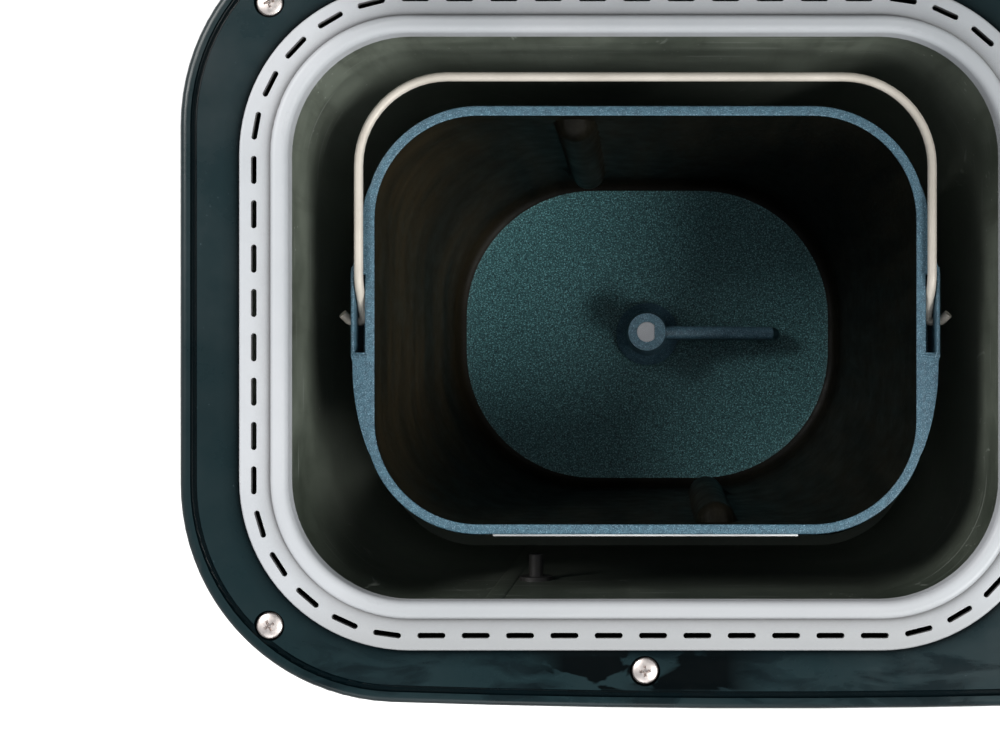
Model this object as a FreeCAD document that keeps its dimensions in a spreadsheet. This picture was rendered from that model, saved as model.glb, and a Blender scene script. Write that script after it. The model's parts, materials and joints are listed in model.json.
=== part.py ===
"""A bread machine for the worktop, as an assembly of separate pieces, in millimetres.

A wide rounded housing holds a sheet-metal oven chamber. A cast pan with a wire bail stands in the
chamber, on a seat over the drive coupling, and a motor beside the chamber turns the kneading paddle by
a belt. The lid is hinged at the rear and stands open at rest. The controls are on a console at the right.

Frame: +X right, +Y to the rear, +Z up. The origin is on the kneading shaft's axis, on the worktop.
"""

import FreeCAD, Part
import math
import os

import Sketcher

V = FreeCAD.Vector
doc = FreeCAD.newDocument("bread_machine")
sheet = doc.addObject("Spreadsheet::Sheet", "dims")

# ---------------------------------------------------------------- driving dimensions

SIZES = {
    # housing outline, seen from above
    "body_left": 149.6,
    "body_right": 226.5,
    "body_front": 125.9,
    "body_rear": 132.1,
    "body_radius": 70.3,
    "front_bow_radius": 3500,
    # heights above the worktop
    "foot_height": 6,
    "tray_floor": 2.2,
    "tray_top": 30,
    "deck_low": 214,
    "deck_top": 238,
    "deck_plate": 3,
    "chassis_low": 58,
    "chassis_plate": 2,
    # walls
    "tray_inset": 0.5,
    "skirt_wall": 2.5,
    "wrap_inset": 2.7,
    "wrap_wall": 0.8,
    "edge_fillet": 2.6,
    "groove_inset": 3.8,
    "groove_width": 2.2,
    "groove_depth": 1,
    "groove_fillet": 0.8,
    # the pale ring round the oven's mouth
    "mouth_half_x": 113.8,
    "mouth_half_y": 90.6,
    "mouth_radius": 38.5,
    "ring_width": 16,
    "lip_width": 5.7,
    "lip_height": 4.2,
    "flange_height": 1.8,
    "skirt_depth": 2.6,
    "skirt_thick": 1.7,
    "ring_overlap": 1.8,
    "slot_inset": 4.9,
    "slot_length": 9,
    "slot_width": 1.8,
    "slot_count": 58,
    # deck screws
    "screw_x": 120.5,
    "screw_front": 98.9,
    "screw_rear": 101,
    "screw_mid_front": 113.4,
    "screw_mid_rear": 118,
    "screw_head": 4.3,
    "screw_shank": 2,
    "counterbore": 4.9,
    "sink_depth": 2,
    # oven chamber
    "chamber_half_x": 116.5,
    "chamber_half_y": 93.3,
    "chamber_radius": 41.2,
    "chamber_wall": 1,
    "flange_width": 5,
    "chamber_drop": 0.2,
    # pan
    "pan_half_x": 93.6,
    "pan_half_y": 71.4,
    "pan_radius": 37.7,
    "pan_wall": 3.3,
    "pan_top": 220,
    "pan_depth": 128,
    "pan_low_half_x": 82.8,
    "pan_low_half_y": 67.3,
    "pan_low_radius": 61,
    "pan_fillet": 5,
    "rib_radius": 7,
    "rib_x": 24,
    "rib_low": 112,
    "rib_high": 208,
    # lugs on the pan's ends, where the bail pivots
    "lug_face": 98.2,
    "lug_height": 17,
    "lug_slot_in": 93.3,
    "lug_slot_out": 96.9,
    "lug_slot_front": 10.8,
    "lug_slot_rear": 15.2,
    "lug_slot_depth": 14,
    "pivot_drop": 8,
    "pivot_hole": 1.7,
    # bail
    "wire_radius": 1.5,
    "bail_half_x": 95.15,
    "bail_reach": 80.6,
    "bail_corner": 29.5,
    "bail_rise": 9.75,
    "bail_kink": 12.5,
    "bail_end": 100,
    # drive line
    "shaft_radius": 4,
    "running_gap": 0.05,
    "housing_radius": 15,
    "bush_radius": 7,
    "bush_length": 8,
    "pulley_radius": 55,
    "small_pulley": 10,
    "pulley_low": 22,
    "pulley_width": 12,
    "belt_gap": 0.3,
    "belt_thick": 2,
    "belt_width": 9,
    "motor_x": 186,
    "motor_radius": 32,
    "motor_length": 65,
    "mount_height": 3,
    "coupler_radius": 20,
    "dog_height": 9,
    "wing_half_length": 16,
    "wing_half_width": 4.5,
    # pan seat and base
    "seat_outer": 54,
    "seat_inner": 40,
    "seat_height": 6,
    "base_outer": 48,
    "base_wall": 3.5,
    # heater
    "heater_half_x": 104,
    "heater_half_y": 81,
    "heater_radius": 3.25,
    "heater_height": 96,
    "heater_lead": 12,
    "heater_end": 130,
    "heater_corner": 32,
    "heater_bend": 8,
    # temperature probe
    "probe_x": -40,
    "probe_height": 176,
    "probe_radius": 2.6,
    "probe_tip": 83,
    # paddle
    "hub_radius": 9.5,
    "hub_height": 24,
    "blade_reach": 55,
    "flat_depth": 1,
    # console
    "console_left": 152,
    "console_height": 24,
    "console_inset": 4.5,
    "console_wall": 2.5,
    "console_radius": 63,
    "console_corner": 5.5,
    "console_fillet": 4,
    "fascia_left": 159,
    "fascia_right": 216,
    "fascia_front": 76,
    "fascia_rear": 82,
    "fascia_thick": 1.2,
    "button_gap": 0.4,
    "button_proud": 2,
    "key_radius": 7.5,
    "key_flange": 1.6,
    "key_travel": 1.5,
    "start_radius": 11,
    "key_left": 174,
    "key_right": 202,
    # lid, drawn closed and then opened
    "lid_left": 146,
    "lid_right": 148.5,
    "lid_front": 121.5,
    "lid_rear": 112,
    "lid_low": 238.8,
    "lid_height": 42,
    "lid_wall": 2.6,
    "lid_front_radius": 66,
    "lid_rear_radius": 60,
    "lid_fillet": 13,
    "liner_low": 243.2,
    "liner_thick": 1.2,
    "liner_gap": 0.3,
    "window_half_x": 58,
    "window_half_y": 36,
    "window_y": -22,
    "window_radius": 12,
    "window_rebate": 3,
    "glass_thick": 3,
    "hinge_y": 120,
    "hinge_z": 247.5,
    "hinge_x": 62,
    "knuckle_half": 10,
    "knuckle_radius": 5.5,
    "ear_thick": 5,
    "ear_gap": 0.3,
    "pin_radius": 2,
    "open_angle": 97,
    # power inlet
    "inlet_x": 112,
    "inlet_z": 62,
    "inlet_half_x": 13.5,
    "inlet_half_z": 10,
}

for row, (alias, value) in enumerate(SIZES.items(), start=1):
    sheet.set(f"A{row}", alias)
    sheet.set(f"B{row}", str(value))
    sheet.setAlias(f"B{row}", alias)
doc.recompute()


class Size:
    """A length from the sheet, or a sum of lengths: the text FreeCAD binds, and the value it has now."""

    def __init__(self, text, value):
        self.text = text
        self.value = float(value)

    def __add__(self, other):
        other = size(other)
        return Size(f"({self.text} + {other.text})", self.value + other.value)

    def __sub__(self, other):
        other = size(other)
        return Size(f"({self.text} - {other.text})", self.value - other.value)

    def __mul__(self, other):
        other = size(other)
        return Size(f"({self.text} * {other.text})", self.value * other.value)

    def __truediv__(self, other):
        other = size(other)
        return Size(f"({self.text} / {other.text})", self.value / other.value)

    def __neg__(self):
        return Size(f"(-1 * {self.text})", -self.value)

    def __radd__(self, other):
        return size(other) + self

    def __rsub__(self, other):
        return size(other) - self

    def __rmul__(self, other):
        return size(other) * self


def size(length):
    """The length as a Size, whether it is one already or a plain number."""
    if isinstance(length, Size):
        return length
    return Size(f"({float(length)})", length)


class Dims:
    """Reads the sheet: D.pan_top is the Size bound to that cell."""

    def __getattr__(self, alias):
        return Size(f"dims.{alias}", sheet.get(alias))


D = Dims()
nodes = {}


def bind(item, prop, length):
    """Binds one property of item to a length."""
    item.setExpression(prop, size(length).text)


def node(item, label):
    """Names item after its node, so that it is written to parts/."""
    item.Label = label
    nodes[label] = item
    return item


# ---------------------------------------------------------------- sketched bodies


class Piece:
    """A PartDesign body, built up by sketches, pads, pockets and fillets."""

    def __init__(self, label, whole=True):
        self.body = doc.addObject("PartDesign::Body", label)
        if whole:
            node(self.body, label)

    def sketch(self, height=0, plane="XY_Plane"):
        """A sketch on one of the body's origin planes, raised along that plane's normal."""
        drawn = self.body.newObject("Sketcher::SketchObject", "Sketch")
        support = [f for f in self.body.Origin.OriginFeatures if f.Role == plane][0]
        drawn.AttachmentSupport = [(support, "")]
        drawn.MapMode = "FlatFace"
        bind(drawn, ".AttachmentOffset.Base.z", height)
        return drawn

    def feature(self, kind, drawn, length):
        made = self.body.newObject("PartDesign::" + kind, kind)
        made.Profile = drawn
        bind(made, "Length", length)
        doc.recompute()
        return self

    def pad(self, drawn, length):
        """Adds material upwards from the sketch."""
        return self.feature("Pad", drawn, length)

    def pocket(self, drawn, depth):
        """Takes material away downwards from the sketch."""
        return self.feature("Pocket", drawn, depth)

    def loft(self, kind, low, high):
        """Adds or takes away a ruled loft between two sketches."""
        made = self.body.newObject("PartDesign::" + kind, kind)
        made.Profile = low
        made.Sections = [high]
        made.Ruled = True
        doc.recompute()
        return self

    def fillet(self, radius, chosen):
        """Rounds every edge of the body that chosen(edge) picks."""
        base = self.body.Tip
        names = [f"Edge{i}" for i, e in enumerate(base.Shape.Edges, start=1) if chosen(e)]
        made = self.body.newObject("PartDesign::Fillet", "Fillet")
        made.Base = (base, names)
        bind(made, "Radius", radius)
        doc.recompute()
        return self


def at_height(height, low_x=-1e3, high_x=1e3):
    """Picks level edges at that height whose middle lies between two X places."""

    def chosen(edge):
        box = edge.BoundBox
        level = abs(box.ZMin - height.value) < 0.01 and abs(box.ZMax - height.value) < 0.01
        return level and low_x < (box.XMin + box.XMax) / 2 < high_x

    return chosen


def fix(drawn, element, point, x=None, y=None):
    """Ties a point of a sketch element to its place from the sketch's origin."""
    for kind, place in (("DistanceX", x), ("DistanceY", y)):
        if place is not None:
            place = size(place)
            index = drawn.addConstraint(
                Sketcher.Constraint(kind, -1, 1, element, point, place.value)
            )
            drawn.setExpression(f"Constraints[{index}]", place.text)


def arc(x, y, radius, start, end):
    circle_of = Part.Circle(V(x, y, 0), V(0, 0, 1), radius)
    return Part.ArcOfCircle(circle_of, math.radians(start), math.radians(end))


def set_radius(drawn, element, radius):
    index = drawn.addConstraint(Sketcher.Constraint("Radius", element, radius.value))
    drawn.setExpression(f"Constraints[{index}]", radius.text)


def outline(drawn, left, right, front, rear, radius, right_radius=None, bow=None):
    """A rounded rectangle by its four sides. The front may be an arc of a large radius, bow."""
    x0, x1, y0, y1 = size(left), size(right), size(front), size(rear)
    r = size(radius)
    s = size(right_radius) if right_radius is not None else r
    a, b, c, d, p, q = x0.value, x1.value, y0.value, y1.value, r.value, s.value
    first = drawn.GeometryCount
    if bow is None:
        drawn.addGeometry(Part.LineSegment(V(a + p, c, 0), V(b - q, c, 0)))
    else:
        middle, reach = (a + b) / 2, math.degrees(math.asin((b - a - p - q) / 2 / size(bow).value))
        drawn.addGeometry(arc(middle, c + size(bow).value, size(bow).value, 270 - reach, 270 + reach))
    drawn.addGeometry(arc(b - q, c + q, q, 270, 360))
    drawn.addGeometry(Part.LineSegment(V(b, c + q, 0), V(b, d - q, 0)))
    drawn.addGeometry(arc(b - q, d - q, q, 0, 90))
    drawn.addGeometry(Part.LineSegment(V(b - q, d, 0), V(a + p, d, 0)))
    drawn.addGeometry(arc(a + p, d - p, p, 90, 180))
    drawn.addGeometry(Part.LineSegment(V(a, d - p, 0), V(a, c + p, 0)))
    drawn.addGeometry(arc(a + p, c + p, p, 180, 270))
    for i in range(8):
        j = (i + 1) % 8
        drawn.addConstraint(Sketcher.Constraint("Tangent", first + i, 2, first + j, 1))
    drawn.addConstraint(Sketcher.Constraint("Vertical", first + 2))
    drawn.addConstraint(Sketcher.Constraint("Horizontal", first + 4))
    drawn.addConstraint(Sketcher.Constraint("Vertical", first + 6))
    drawn.addConstraint(Sketcher.Constraint("Equal", first + 1, first + 3))
    drawn.addConstraint(Sketcher.Constraint("Equal", first + 5, first + 7))
    set_radius(drawn, first + 1, s)
    set_radius(drawn, first + 5, r)
    fix(drawn, first + 2, 1, x=x1)
    fix(drawn, first + 6, 1, x=x0)
    fix(drawn, first + 4, 1, y=y1)
    if bow is None:
        drawn.addConstraint(Sketcher.Constraint("Horizontal", first))
        fix(drawn, first, 1, y=y0)
    else:
        set_radius(drawn, first, size(bow))
        fix(drawn, first, 3, x=(x0 + x1) / 2, y=y0 + size(bow))


def circle(drawn, x, y, radius):
    """A circle, tied to its centre and radius."""
    x, y, radius = size(x), size(y), size(radius)
    made = drawn.addGeometry(Part.Circle(V(x.value, y.value, 0), V(0, 0, 1), radius.value))
    fix(drawn, made, 3, x=x, y=y)
    set_radius(drawn, made, radius)


def polygon(drawn, points):
    """A closed polygon, with every corner tied to its place."""
    places = [(size(x), size(y)) for x, y in points]
    first = drawn.GeometryCount
    for i, (x, y) in enumerate(places):
        u, v = places[(i + 1) % len(places)]
        drawn.addGeometry(Part.LineSegment(V(x.value, y.value, 0), V(u.value, v.value, 0)))
    for i, (x, y) in enumerate(places):
        before = first + (i - 1) % len(places)
        drawn.addConstraint(Sketcher.Constraint("Coincident", before, 2, first + i, 1))
        fix(drawn, first + i, 1, x=x, y=y)


def body_outline(drawn, inset):
    """The housing's outline, drawn in by inset."""
    inset = size(inset)
    outline(
        drawn,
        inset - D.body_left,
        D.body_right - inset,
        inset - D.body_front,
        D.body_rear - inset,
        D.body_radius - inset,
        bow=D.front_bow_radius - inset,
    )


def mouth_outline(drawn, grow):
    """The oven mouth's outline, grown outwards by grow."""
    x, y = D.mouth_half_x + grow, D.mouth_half_y + grow
    outline(drawn, -x, x, -y, y, D.mouth_radius + grow)


def centred(drawn, half_x, half_y, radius, x=0, y=0):
    """A rounded rectangle about a centre."""
    x, y = size(x), size(y)
    outline(drawn, x - half_x, x + half_x, y - half_y, y + half_y, radius)


# ---------------------------------------------------------------- primitives


def place(item, x, y, z):
    for axis, length in (("x", x), ("y", y), ("z", z)):
        bind(item, f".Placement.Base.{axis}", length)
    return item


def block(x0, x1, y0, y1, z0, z1):
    """A box by its lowest and highest corners."""
    x0, x1, y0, y1, z0, z1 = (size(v) for v in (x0, x1, y0, y1, z0, z1))
    made = doc.addObject("Part::Box", "Block")
    bind(made, "Length", x1 - x0)
    bind(made, "Width", y1 - y0)
    bind(made, "Height", z1 - z0)
    return place(made, x0, y0, z0)


TURNS = {
    "z": FreeCAD.Rotation(),
    "x": FreeCAD.Rotation(V(0, 1, 0), 90),
    "y": FreeCAD.Rotation(V(1, 0, 0), -90),
}


def rod(x, y, z, radius, length, axis="z"):
    """A cylinder from the point x, y, z along an axis."""
    made = doc.addObject("Part::Cylinder", "Rod")
    made.Placement = FreeCAD.Placement(V(), TURNS[axis])
    bind(made, "Radius", radius)
    bind(made, "Height", length)
    return place(made, x, y, z)


def cone(x, y, z, low_radius, high_radius, height):
    """An upright cone from the point x, y, z."""
    made = doc.addObject("Part::Cone", "Cone")
    bind(made, "Radius1", low_radius)
    bind(made, "Radius2", high_radius)
    bind(made, "Height", height)
    return place(made, x, y, z)


def fuse(*items):
    made = doc.addObject("Part::MultiFuse", "Fuse")
    made.Shapes = list(items)
    return made


def cut(base, *tools):
    made = doc.addObject("Part::Cut", "Cut")
    made.Base = base
    made.Tool = tools[0] if len(tools) == 1 else fuse(*tools)
    return made


def solids(label, items):
    """Several separate solids as one node."""
    made = doc.addObject("Part::Compound", "Group")
    made.Links = list(items)
    return node(made, label)


def shape(label, made_shape):
    """A feature whose shape is made by Part's own functions, not a node by itself."""
    made = doc.addObject("Part::Feature", label)
    made.Shape = made_shape
    return made


def washer(x, y, z, outer, inner, length, axis="z"):
    """A short tube."""
    return cut(rod(x, y, z, outer, length, axis), rod(x, y, z, inner, length, axis))


def path_of(points, radii):
    """A wire of straight runs through points, joined by tangent arcs of the given radii."""
    edges = []
    last = points[0]
    for before, corner, after, radius in zip(points, points[1:], points[2:], radii):
        back = (before - corner).normalize()
        ahead = (after - corner).normalize()
        turn = math.pi - back.getAngle(ahead)
        reach = radius * math.tan(turn / 2)
        start, end = corner + back * reach, corner + ahead * reach
        middle = (back + ahead).normalize()
        inside = corner + middle * (radius / math.cos(turn / 2) - radius)
        edges.append(Part.LineSegment(last, start).toShape())
        edges.append(Part.Arc(start, inside, end).toShape())
        last = end
    edges.append(Part.LineSegment(last, points[-1]).toShape())
    return Part.Wire(edges)


def tube_along(path, radius):
    """A round bar swept along a path."""
    start = path.Edges[0]
    ring = Part.Circle(start.valueAt(start.FirstParameter), start.tangentAt(start.FirstParameter), radius)
    return path.makePipeShell([Part.Wire(ring.toShape())], True, False)


# ---------------------------------------------------------------- housing

post_places = [(x, y) for x in (-88, 88, 206) for y in (-66, 66)]
foot_places = [(x, y) for x in (-96, 174) for y in (-86, 92)]
centre_foot = (0, 0)
tray_floor_top = D.foot_height + D.tray_floor
chassis_top = D.chassis_low + D.chassis_plate


def make_base_tray():
    """The moulded tray under the machine, with screw posts and air slots below the motor."""
    tray = Piece("tray_plain", whole=False)
    outside = tray.sketch(D.foot_height)
    body_outline(outside, D.tray_inset)
    tray.pad(outside, D.tray_top - D.foot_height)
    tray.fillet(3, at_height(D.foot_height))
    inside = tray.sketch(D.tray_top)
    body_outline(inside, D.skirt_wall)
    tray.pocket(inside, D.tray_top - tray_floor_top)
    posts = tray.sketch(tray_floor_top)
    for x, y in post_places:
        circle(posts, x, y, 6)
    tray.pad(posts, D.chassis_low - tray_floor_top)
    holes = tray.sketch(tray_floor_top)
    for x, y in foot_places + [centre_foot]:
        circle(holes, x, y, 4)
    for x, y in post_places:
        circle(holes, x, y, D.screw_shank)
    tray.pocket(holes, D.tray_floor)
    pilots = tray.sketch(22)
    for x, y in post_places:
        circle(pilots, x, y, D.screw_shank)
    tray.pocket(pilots, 22 - tray_floor_top)
    slots = [block(x, x + 3, -18, 18, 0, D.foot_height + 5) for x in range(130, 200, 7)]
    node(cut(tray.body, *slots), "base_tray")


def make_feet():
    """Four pads near the corners, and one under the drive that takes the push on the pan."""
    feet = []
    for x, y in foot_places + [centre_foot]:
        pad = cone(x, y, 0, 9, 10, D.foot_height)
        stem = rod(x, y, D.foot_height, 3.9, D.tray_floor + 1)
        feet.append(fuse(pad, stem))
    solids("rubber_feet", feet)


def make_base_screws():
    screws = []
    for x, y in post_places:
        head = rod(x, y, D.foot_height - 1.8, 4, 1.8)
        shank = rod(x, y, D.foot_height, D.screw_shank - 0.05, 15)
        slot = block(x - 2.4, x + 2.4, y - 0.4, y + 0.4, D.foot_height - 1.8, D.foot_height - 1)
        screws.append(cut(fuse(head, shank), slot))
    solids("base_screws", screws)


def make_wrap():
    """The steel sheet round the sides, with louvres for the motor's air."""
    sheet_metal = Piece("wrap_plain", whole=False)
    ring = sheet_metal.sketch(tray_floor_top)
    body_outline(ring, D.wrap_inset)
    body_outline(ring, D.wrap_inset + D.wrap_wall)
    sheet_metal.pad(ring, D.deck_top - D.deck_plate - tray_floor_top)
    cutters = []
    for i in range(12):
        x = -40 + 8 * i
        cutters.append(block(x, x + 3, D.body_rear - 8, D.body_rear, 60, 92))
    for i in range(9):
        y = -30 + 8 * i
        cutters.append(block(D.body_right - 8, D.body_right, y, y + 3, 72, 112))
        cutters.append(block(-D.body_left, 8 - D.body_left, y, y + 3, 72, 112))
    cutters.append(
        block(
            D.inlet_x - D.inlet_half_x - 0.3,
            D.inlet_x + D.inlet_half_x + 0.3,
            D.body_rear - 8,
            D.body_rear,
            D.inlet_z - D.inlet_half_z - 0.3,
            D.inlet_z + D.inlet_half_z + 0.3,
        )
    )
    node(cut(sheet_metal.body, *cutters), "steel_wrap")


screw_places = [
    (-D.screw_x, -D.screw_front),
    (D.screw_x, -D.screw_front),
    (-D.screw_x, D.screw_rear),
    (D.screw_x, D.screw_rear),
    (size(0), -D.screw_mid_front),
    (size(0), D.screw_mid_rear),
]
deck_hole = D.ring_width - D.ring_overlap


def make_deck_frame():
    """The moulded deck: a rounded outer edge, a fine groove inside it, and the oven's opening."""
    deck = Piece("deck_frame")
    outer = deck.sketch(D.deck_low)
    body_outline(outer, 0)
    deck.pad(outer, D.deck_top - D.deck_low)
    deck.fillet(D.edge_fillet, at_height(D.deck_top))
    groove = deck.sketch(D.deck_top)
    body_outline(groove, D.groove_inset)
    body_outline(groove, D.groove_inset + D.groove_width)
    deck.pocket(groove, D.groove_depth)
    deck.fillet(D.groove_fillet, at_height(D.deck_top - D.groove_depth))
    inside = deck.sketch(D.deck_top - D.deck_plate)
    body_outline(inside, D.skirt_wall)
    deck.pocket(inside, D.deck_top - D.deck_plate - D.deck_low)
    bosses = deck.sketch(D.deck_low + 8)
    for x, y in screw_places:
        circle(bosses, x, y, 4.5)
    deck.pad(bosses, D.deck_top - D.deck_plate - D.deck_low - 8)
    openings = deck.sketch(D.deck_top)
    mouth_outline(openings, deck_hole)
    centred(openings, 20, 60, 5, x=188)
    deck.pocket(openings, 40)
    sinks = deck.sketch(D.deck_top)
    for x, y in screw_places:
        circle(sinks, x, y, D.counterbore)
    deck.pocket(sinks, D.sink_depth)
    pilots = deck.sketch(D.deck_top)
    for x, y in screw_places:
        circle(pilots, x, y, D.screw_shank)
    deck.pocket(pilots, 14)
    stands = deck.sketch(D.deck_top)
    for x in (163, 213):
        for y in (-68, 68):
            circle(stands, x, y, 3)
    deck.pad(stands, 8)


def slot_cutters():
    """Short straight slots, evenly spaced along the ring's middle line."""
    offset = (D.ring_width - D.slot_inset).value
    radius = D.mouth_radius.value + offset
    half_x = D.mouth_half_x.value + offset
    half_y = D.mouth_half_y.value + offset
    straight_x, straight_y = 2 * (half_x - radius), 2 * (half_y - radius)
    quarter = math.pi * radius / 2
    runs = [
        (straight_x, V(-straight_x / 2, -half_y, 0), 0),
        (straight_y, V(half_x, -straight_y / 2, 0), 90),
        (straight_x, V(straight_x / 2, half_y, 0), 180),
        (straight_y, V(-half_x, straight_y / 2, 0), 270),
    ]
    around = sum(run for run, _, _ in runs) + 4 * quarter
    count = int(D.slot_count.value)
    made = []
    for i in range(count):
        along = (i + 0.5) * around / count
        for run, start, heading in runs:
            ahead = V(math.cos(math.radians(heading)), math.sin(math.radians(heading)), 0)
            side = V(-ahead.y, ahead.x, 0)
            if along <= run:
                point, angle = start + ahead * along, heading
                break
            along -= run
            if along <= quarter:
                turned = along / radius
                corner = start + ahead * run + side * radius
                point = corner + ahead * (radius * math.sin(turned)) - side * (radius * math.cos(turned))
                angle = heading + math.degrees(turned)
                break
            along -= quarter
        length, width = D.slot_length.value - D.slot_width.value, D.slot_width.value
        low = D.deck_top.value - 1
        tool = Part.makeBox(length, width, 6, V(-length / 2, -width / 2, low))
        ends = [Part.makeCylinder(width / 2, 6, V(x, 0, low)) for x in (-length / 2, length / 2)]
        tool = tool.multiFuse(ends)
        tool.rotate(V(), V(0, 0, 1), angle)
        tool.translate(point)
        made.append(tool)
    return Part.makeCompound(made)


def make_slot_ring():
    """The pale moulded ring: a slotted flange, a raised rounded lip and a skirt into the oven."""
    ring = Piece("ring_plain", whole=False)
    flange = ring.sketch(D.deck_top)
    mouth_outline(flange, D.ring_width)
    mouth_outline(flange, 0)
    ring.pad(flange, D.flange_height)
    lip = ring.sketch(D.deck_top)
    mouth_outline(lip, D.lip_width)
    mouth_outline(lip, 0)
    ring.pad(lip, D.lip_height)
    skirt = ring.sketch(D.deck_top - D.skirt_depth)
    mouth_outline(skirt, D.skirt_thick)
    mouth_outline(skirt, 0)
    ring.pad(skirt, D.skirt_depth)
    lip_x = (D.mouth_half_x + D.lip_width).value
    lip_top = (D.deck_top + D.lip_height).value

    def outer_top(edge):
        box = edge.BoundBox
        return abs(box.ZMin - lip_top) < 0.01 and abs(box.ZMax - lip_top) < 0.01

    ring.fillet(2.2, outer_top)
    flange_top = D.deck_top + D.flange_height
    reach_y = (D.mouth_half_y + D.ring_width).value
    middle = lip_x + 4

    def flange_edge(edge):
        box = edge.BoundBox
        level = abs(box.ZMin - flange_top.value) < 0.01 and abs(box.ZMax - flange_top.value) < 0.01
        outside = max(abs(box.XMin), abs(box.XMax)) > middle
        outside = outside or max(abs(box.YMin), abs(box.YMax)) > reach_y - 1
        return level and outside

    ring.fillet(1, flange_edge)
    cutters = shape("ring_slots", slot_cutters())
    node(cut(ring.body, cutters), "slot_ring")


def make_deck_screws():
    """Domed Phillips heads in shallow counterbores."""
    screws = []
    for x, y in screw_places:
        low = D.deck_top - D.sink_depth
        head = cone(x, y, low, D.screw_head, D.screw_head - 0.3, 1.5)
        crown = cone(x, y, low + 1.5, D.screw_head - 0.3, D.screw_head - 1.6, 0.9)
        shank = rod(x, y, low - 12, D.screw_shank, 12)
        across = block(x - 1.9, x + 1.9, y - 0.4, y + 0.4, low + 1.1, low + 3)
        along = block(x - 0.4, x + 0.4, y - 1.9, y + 1.9, low + 1.1, low + 3)
        screws.append(cut(fuse(head, crown, shank), across, along))
    solids("deck_screws", screws)


def make_chassis():
    """The steel plate that carries the chamber, the bearing and the motor."""
    plate = Piece("chassis_plate")
    drawn = plate.sketch(D.chassis_low)
    outline(drawn, -100, 219, -78, 78, 8)
    circle(drawn, 0, 0, D.housing_radius + 0.3)
    circle(drawn, D.motor_x, 0, 14)
    plate.pad(drawn, D.chassis_plate)


# ---------------------------------------------------------------- oven


def make_chamber():
    """A deep rounded sheet-metal box with a flange at its mouth."""
    top = D.deck_top - D.skirt_depth - D.chamber_drop
    box = Piece("chamber_plain", whole=False)
    outside = box.sketch(chassis_top)
    centred(outside, D.chamber_half_x, D.chamber_half_y, D.chamber_radius)
    box.pad(outside, top - chassis_top)
    flange = box.sketch(top - D.chamber_wall)
    centred(
        flange,
        D.chamber_half_x + D.flange_width,
        D.chamber_half_y + D.flange_width,
        D.chamber_radius + D.flange_width,
    )
    box.pad(flange, D.chamber_wall)
    inside = box.sketch(top)
    wall = D.chamber_wall
    centred(inside, D.chamber_half_x - wall, D.chamber_half_y - wall, D.chamber_radius - wall)
    box.pocket(inside, top - chassis_top - wall)
    middle = box.sketch(chassis_top + wall)
    circle(middle, 0, 0, D.housing_radius + 0.3)
    box.pocket(middle, wall)
    tools = [
        rod(D.chamber_half_x - 4, side * D.heater_lead, D.heater_height, 4.4, 8, "x")
        for side in (-1, 1)
    ]
    tools.append(rod(D.probe_x, -D.chamber_half_y - 2, D.probe_height, D.probe_radius + 0.2, 8, "y"))
    node(cut(box.body, *tools), "oven_chamber")


def make_pan_seat():
    """The ring on the chamber's floor that the pan's base stands on."""
    floor = chassis_top + D.chamber_wall
    seat = Piece("pan_seat")
    ring = seat.sketch(floor)
    circle(ring, 0, 0, D.seat_outer)
    circle(ring, 0, 0, D.seat_inner)
    seat.pad(ring, D.seat_height)
    seat.fillet(1.2, at_height(floor + D.seat_height))


def make_pan_clips():
    """Leaf springs that grip the pan's base from both sides."""
    low = chassis_top + D.chamber_wall + D.seat_height
    clips = []
    for side in (-1, 1):
        near, far = D.base_outer + 0.6, D.base_outer + 1.6
        leaf = block(near, far, -9, 9, low, low + 20)
        foot = block(near, D.seat_outer - 1.4, -9, 9, low, low + 1)
        ear = block(far, far + 3, -9, 9, low + 19, low + 20)
        clip = fuse(leaf, foot, ear)
        if side < 0:
            clip.Placement = FreeCAD.Placement(V(), FreeCAD.Rotation(V(0, 0, 1), 180))
        clips.append(clip)
    solids("pan_clips", clips)


def make_heater():
    """A sheathed tube that loops round the pan's foot, with both ends out through the right wall."""
    x, y, z = D.heater_half_x.value, D.heater_half_y.value, D.heater_height.value
    end, lead = D.heater_end.value, D.heater_lead.value
    points = [V(end, -lead, z), V(x, -lead, z), V(x, -y, z), V(-x, -y, z)]
    points += [V(-x, y, z), V(x, y, z), V(x, lead, z), V(end, lead, z)]
    bend, corner = D.heater_bend.value, D.heater_corner.value
    path = path_of(points, [bend, corner, corner, corner, corner, bend])
    node(shape("heating_element", tube_along(path, D.heater_radius.value)), "heating_element")


def make_heater_bushings():
    """Ceramic bushings where the heater's ends pass the wall."""
    wall_in = D.chamber_half_x - D.chamber_wall
    rings = []
    for side in (-1, 1):
        y = side * D.heater_lead
        neck = rod(wall_in - 2, y, D.heater_height, 4.3, 8, "x")
        collar = rod(D.chamber_half_x, y, D.heater_height, 7, 3, "x")
        bore = rod(wall_in - 3, y, D.heater_height, D.heater_radius + 0.1, 12, "x")
        rings.append(cut(fuse(neck, collar), bore))
    solids("heater_bushings", rings)


def make_heater_clips():
    """Posts on the chamber's floor that hold the heater up."""
    floor = chassis_top + D.chamber_wall
    top = D.heater_height - D.heater_radius - 0.05
    posts = []
    for x, y, turn in ((-50, -1, 0), (50, -1, 0), (-50, 1, 0), (50, 1, 0)):
        middle = y * D.heater_half_y
        stem = block(x - 5, x + 5, middle - 0.6, middle + 0.6, floor, top)
        foot = block(x - 5, x + 5, middle - 4, middle + 4, floor, floor + 1.2)
        cradle = block(x - 5, x + 5, middle - 4, middle + 4, top - 1.2, top)
        posts.append(fuse(stem, foot, cradle))
    solids("heater_clips", posts)


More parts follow.
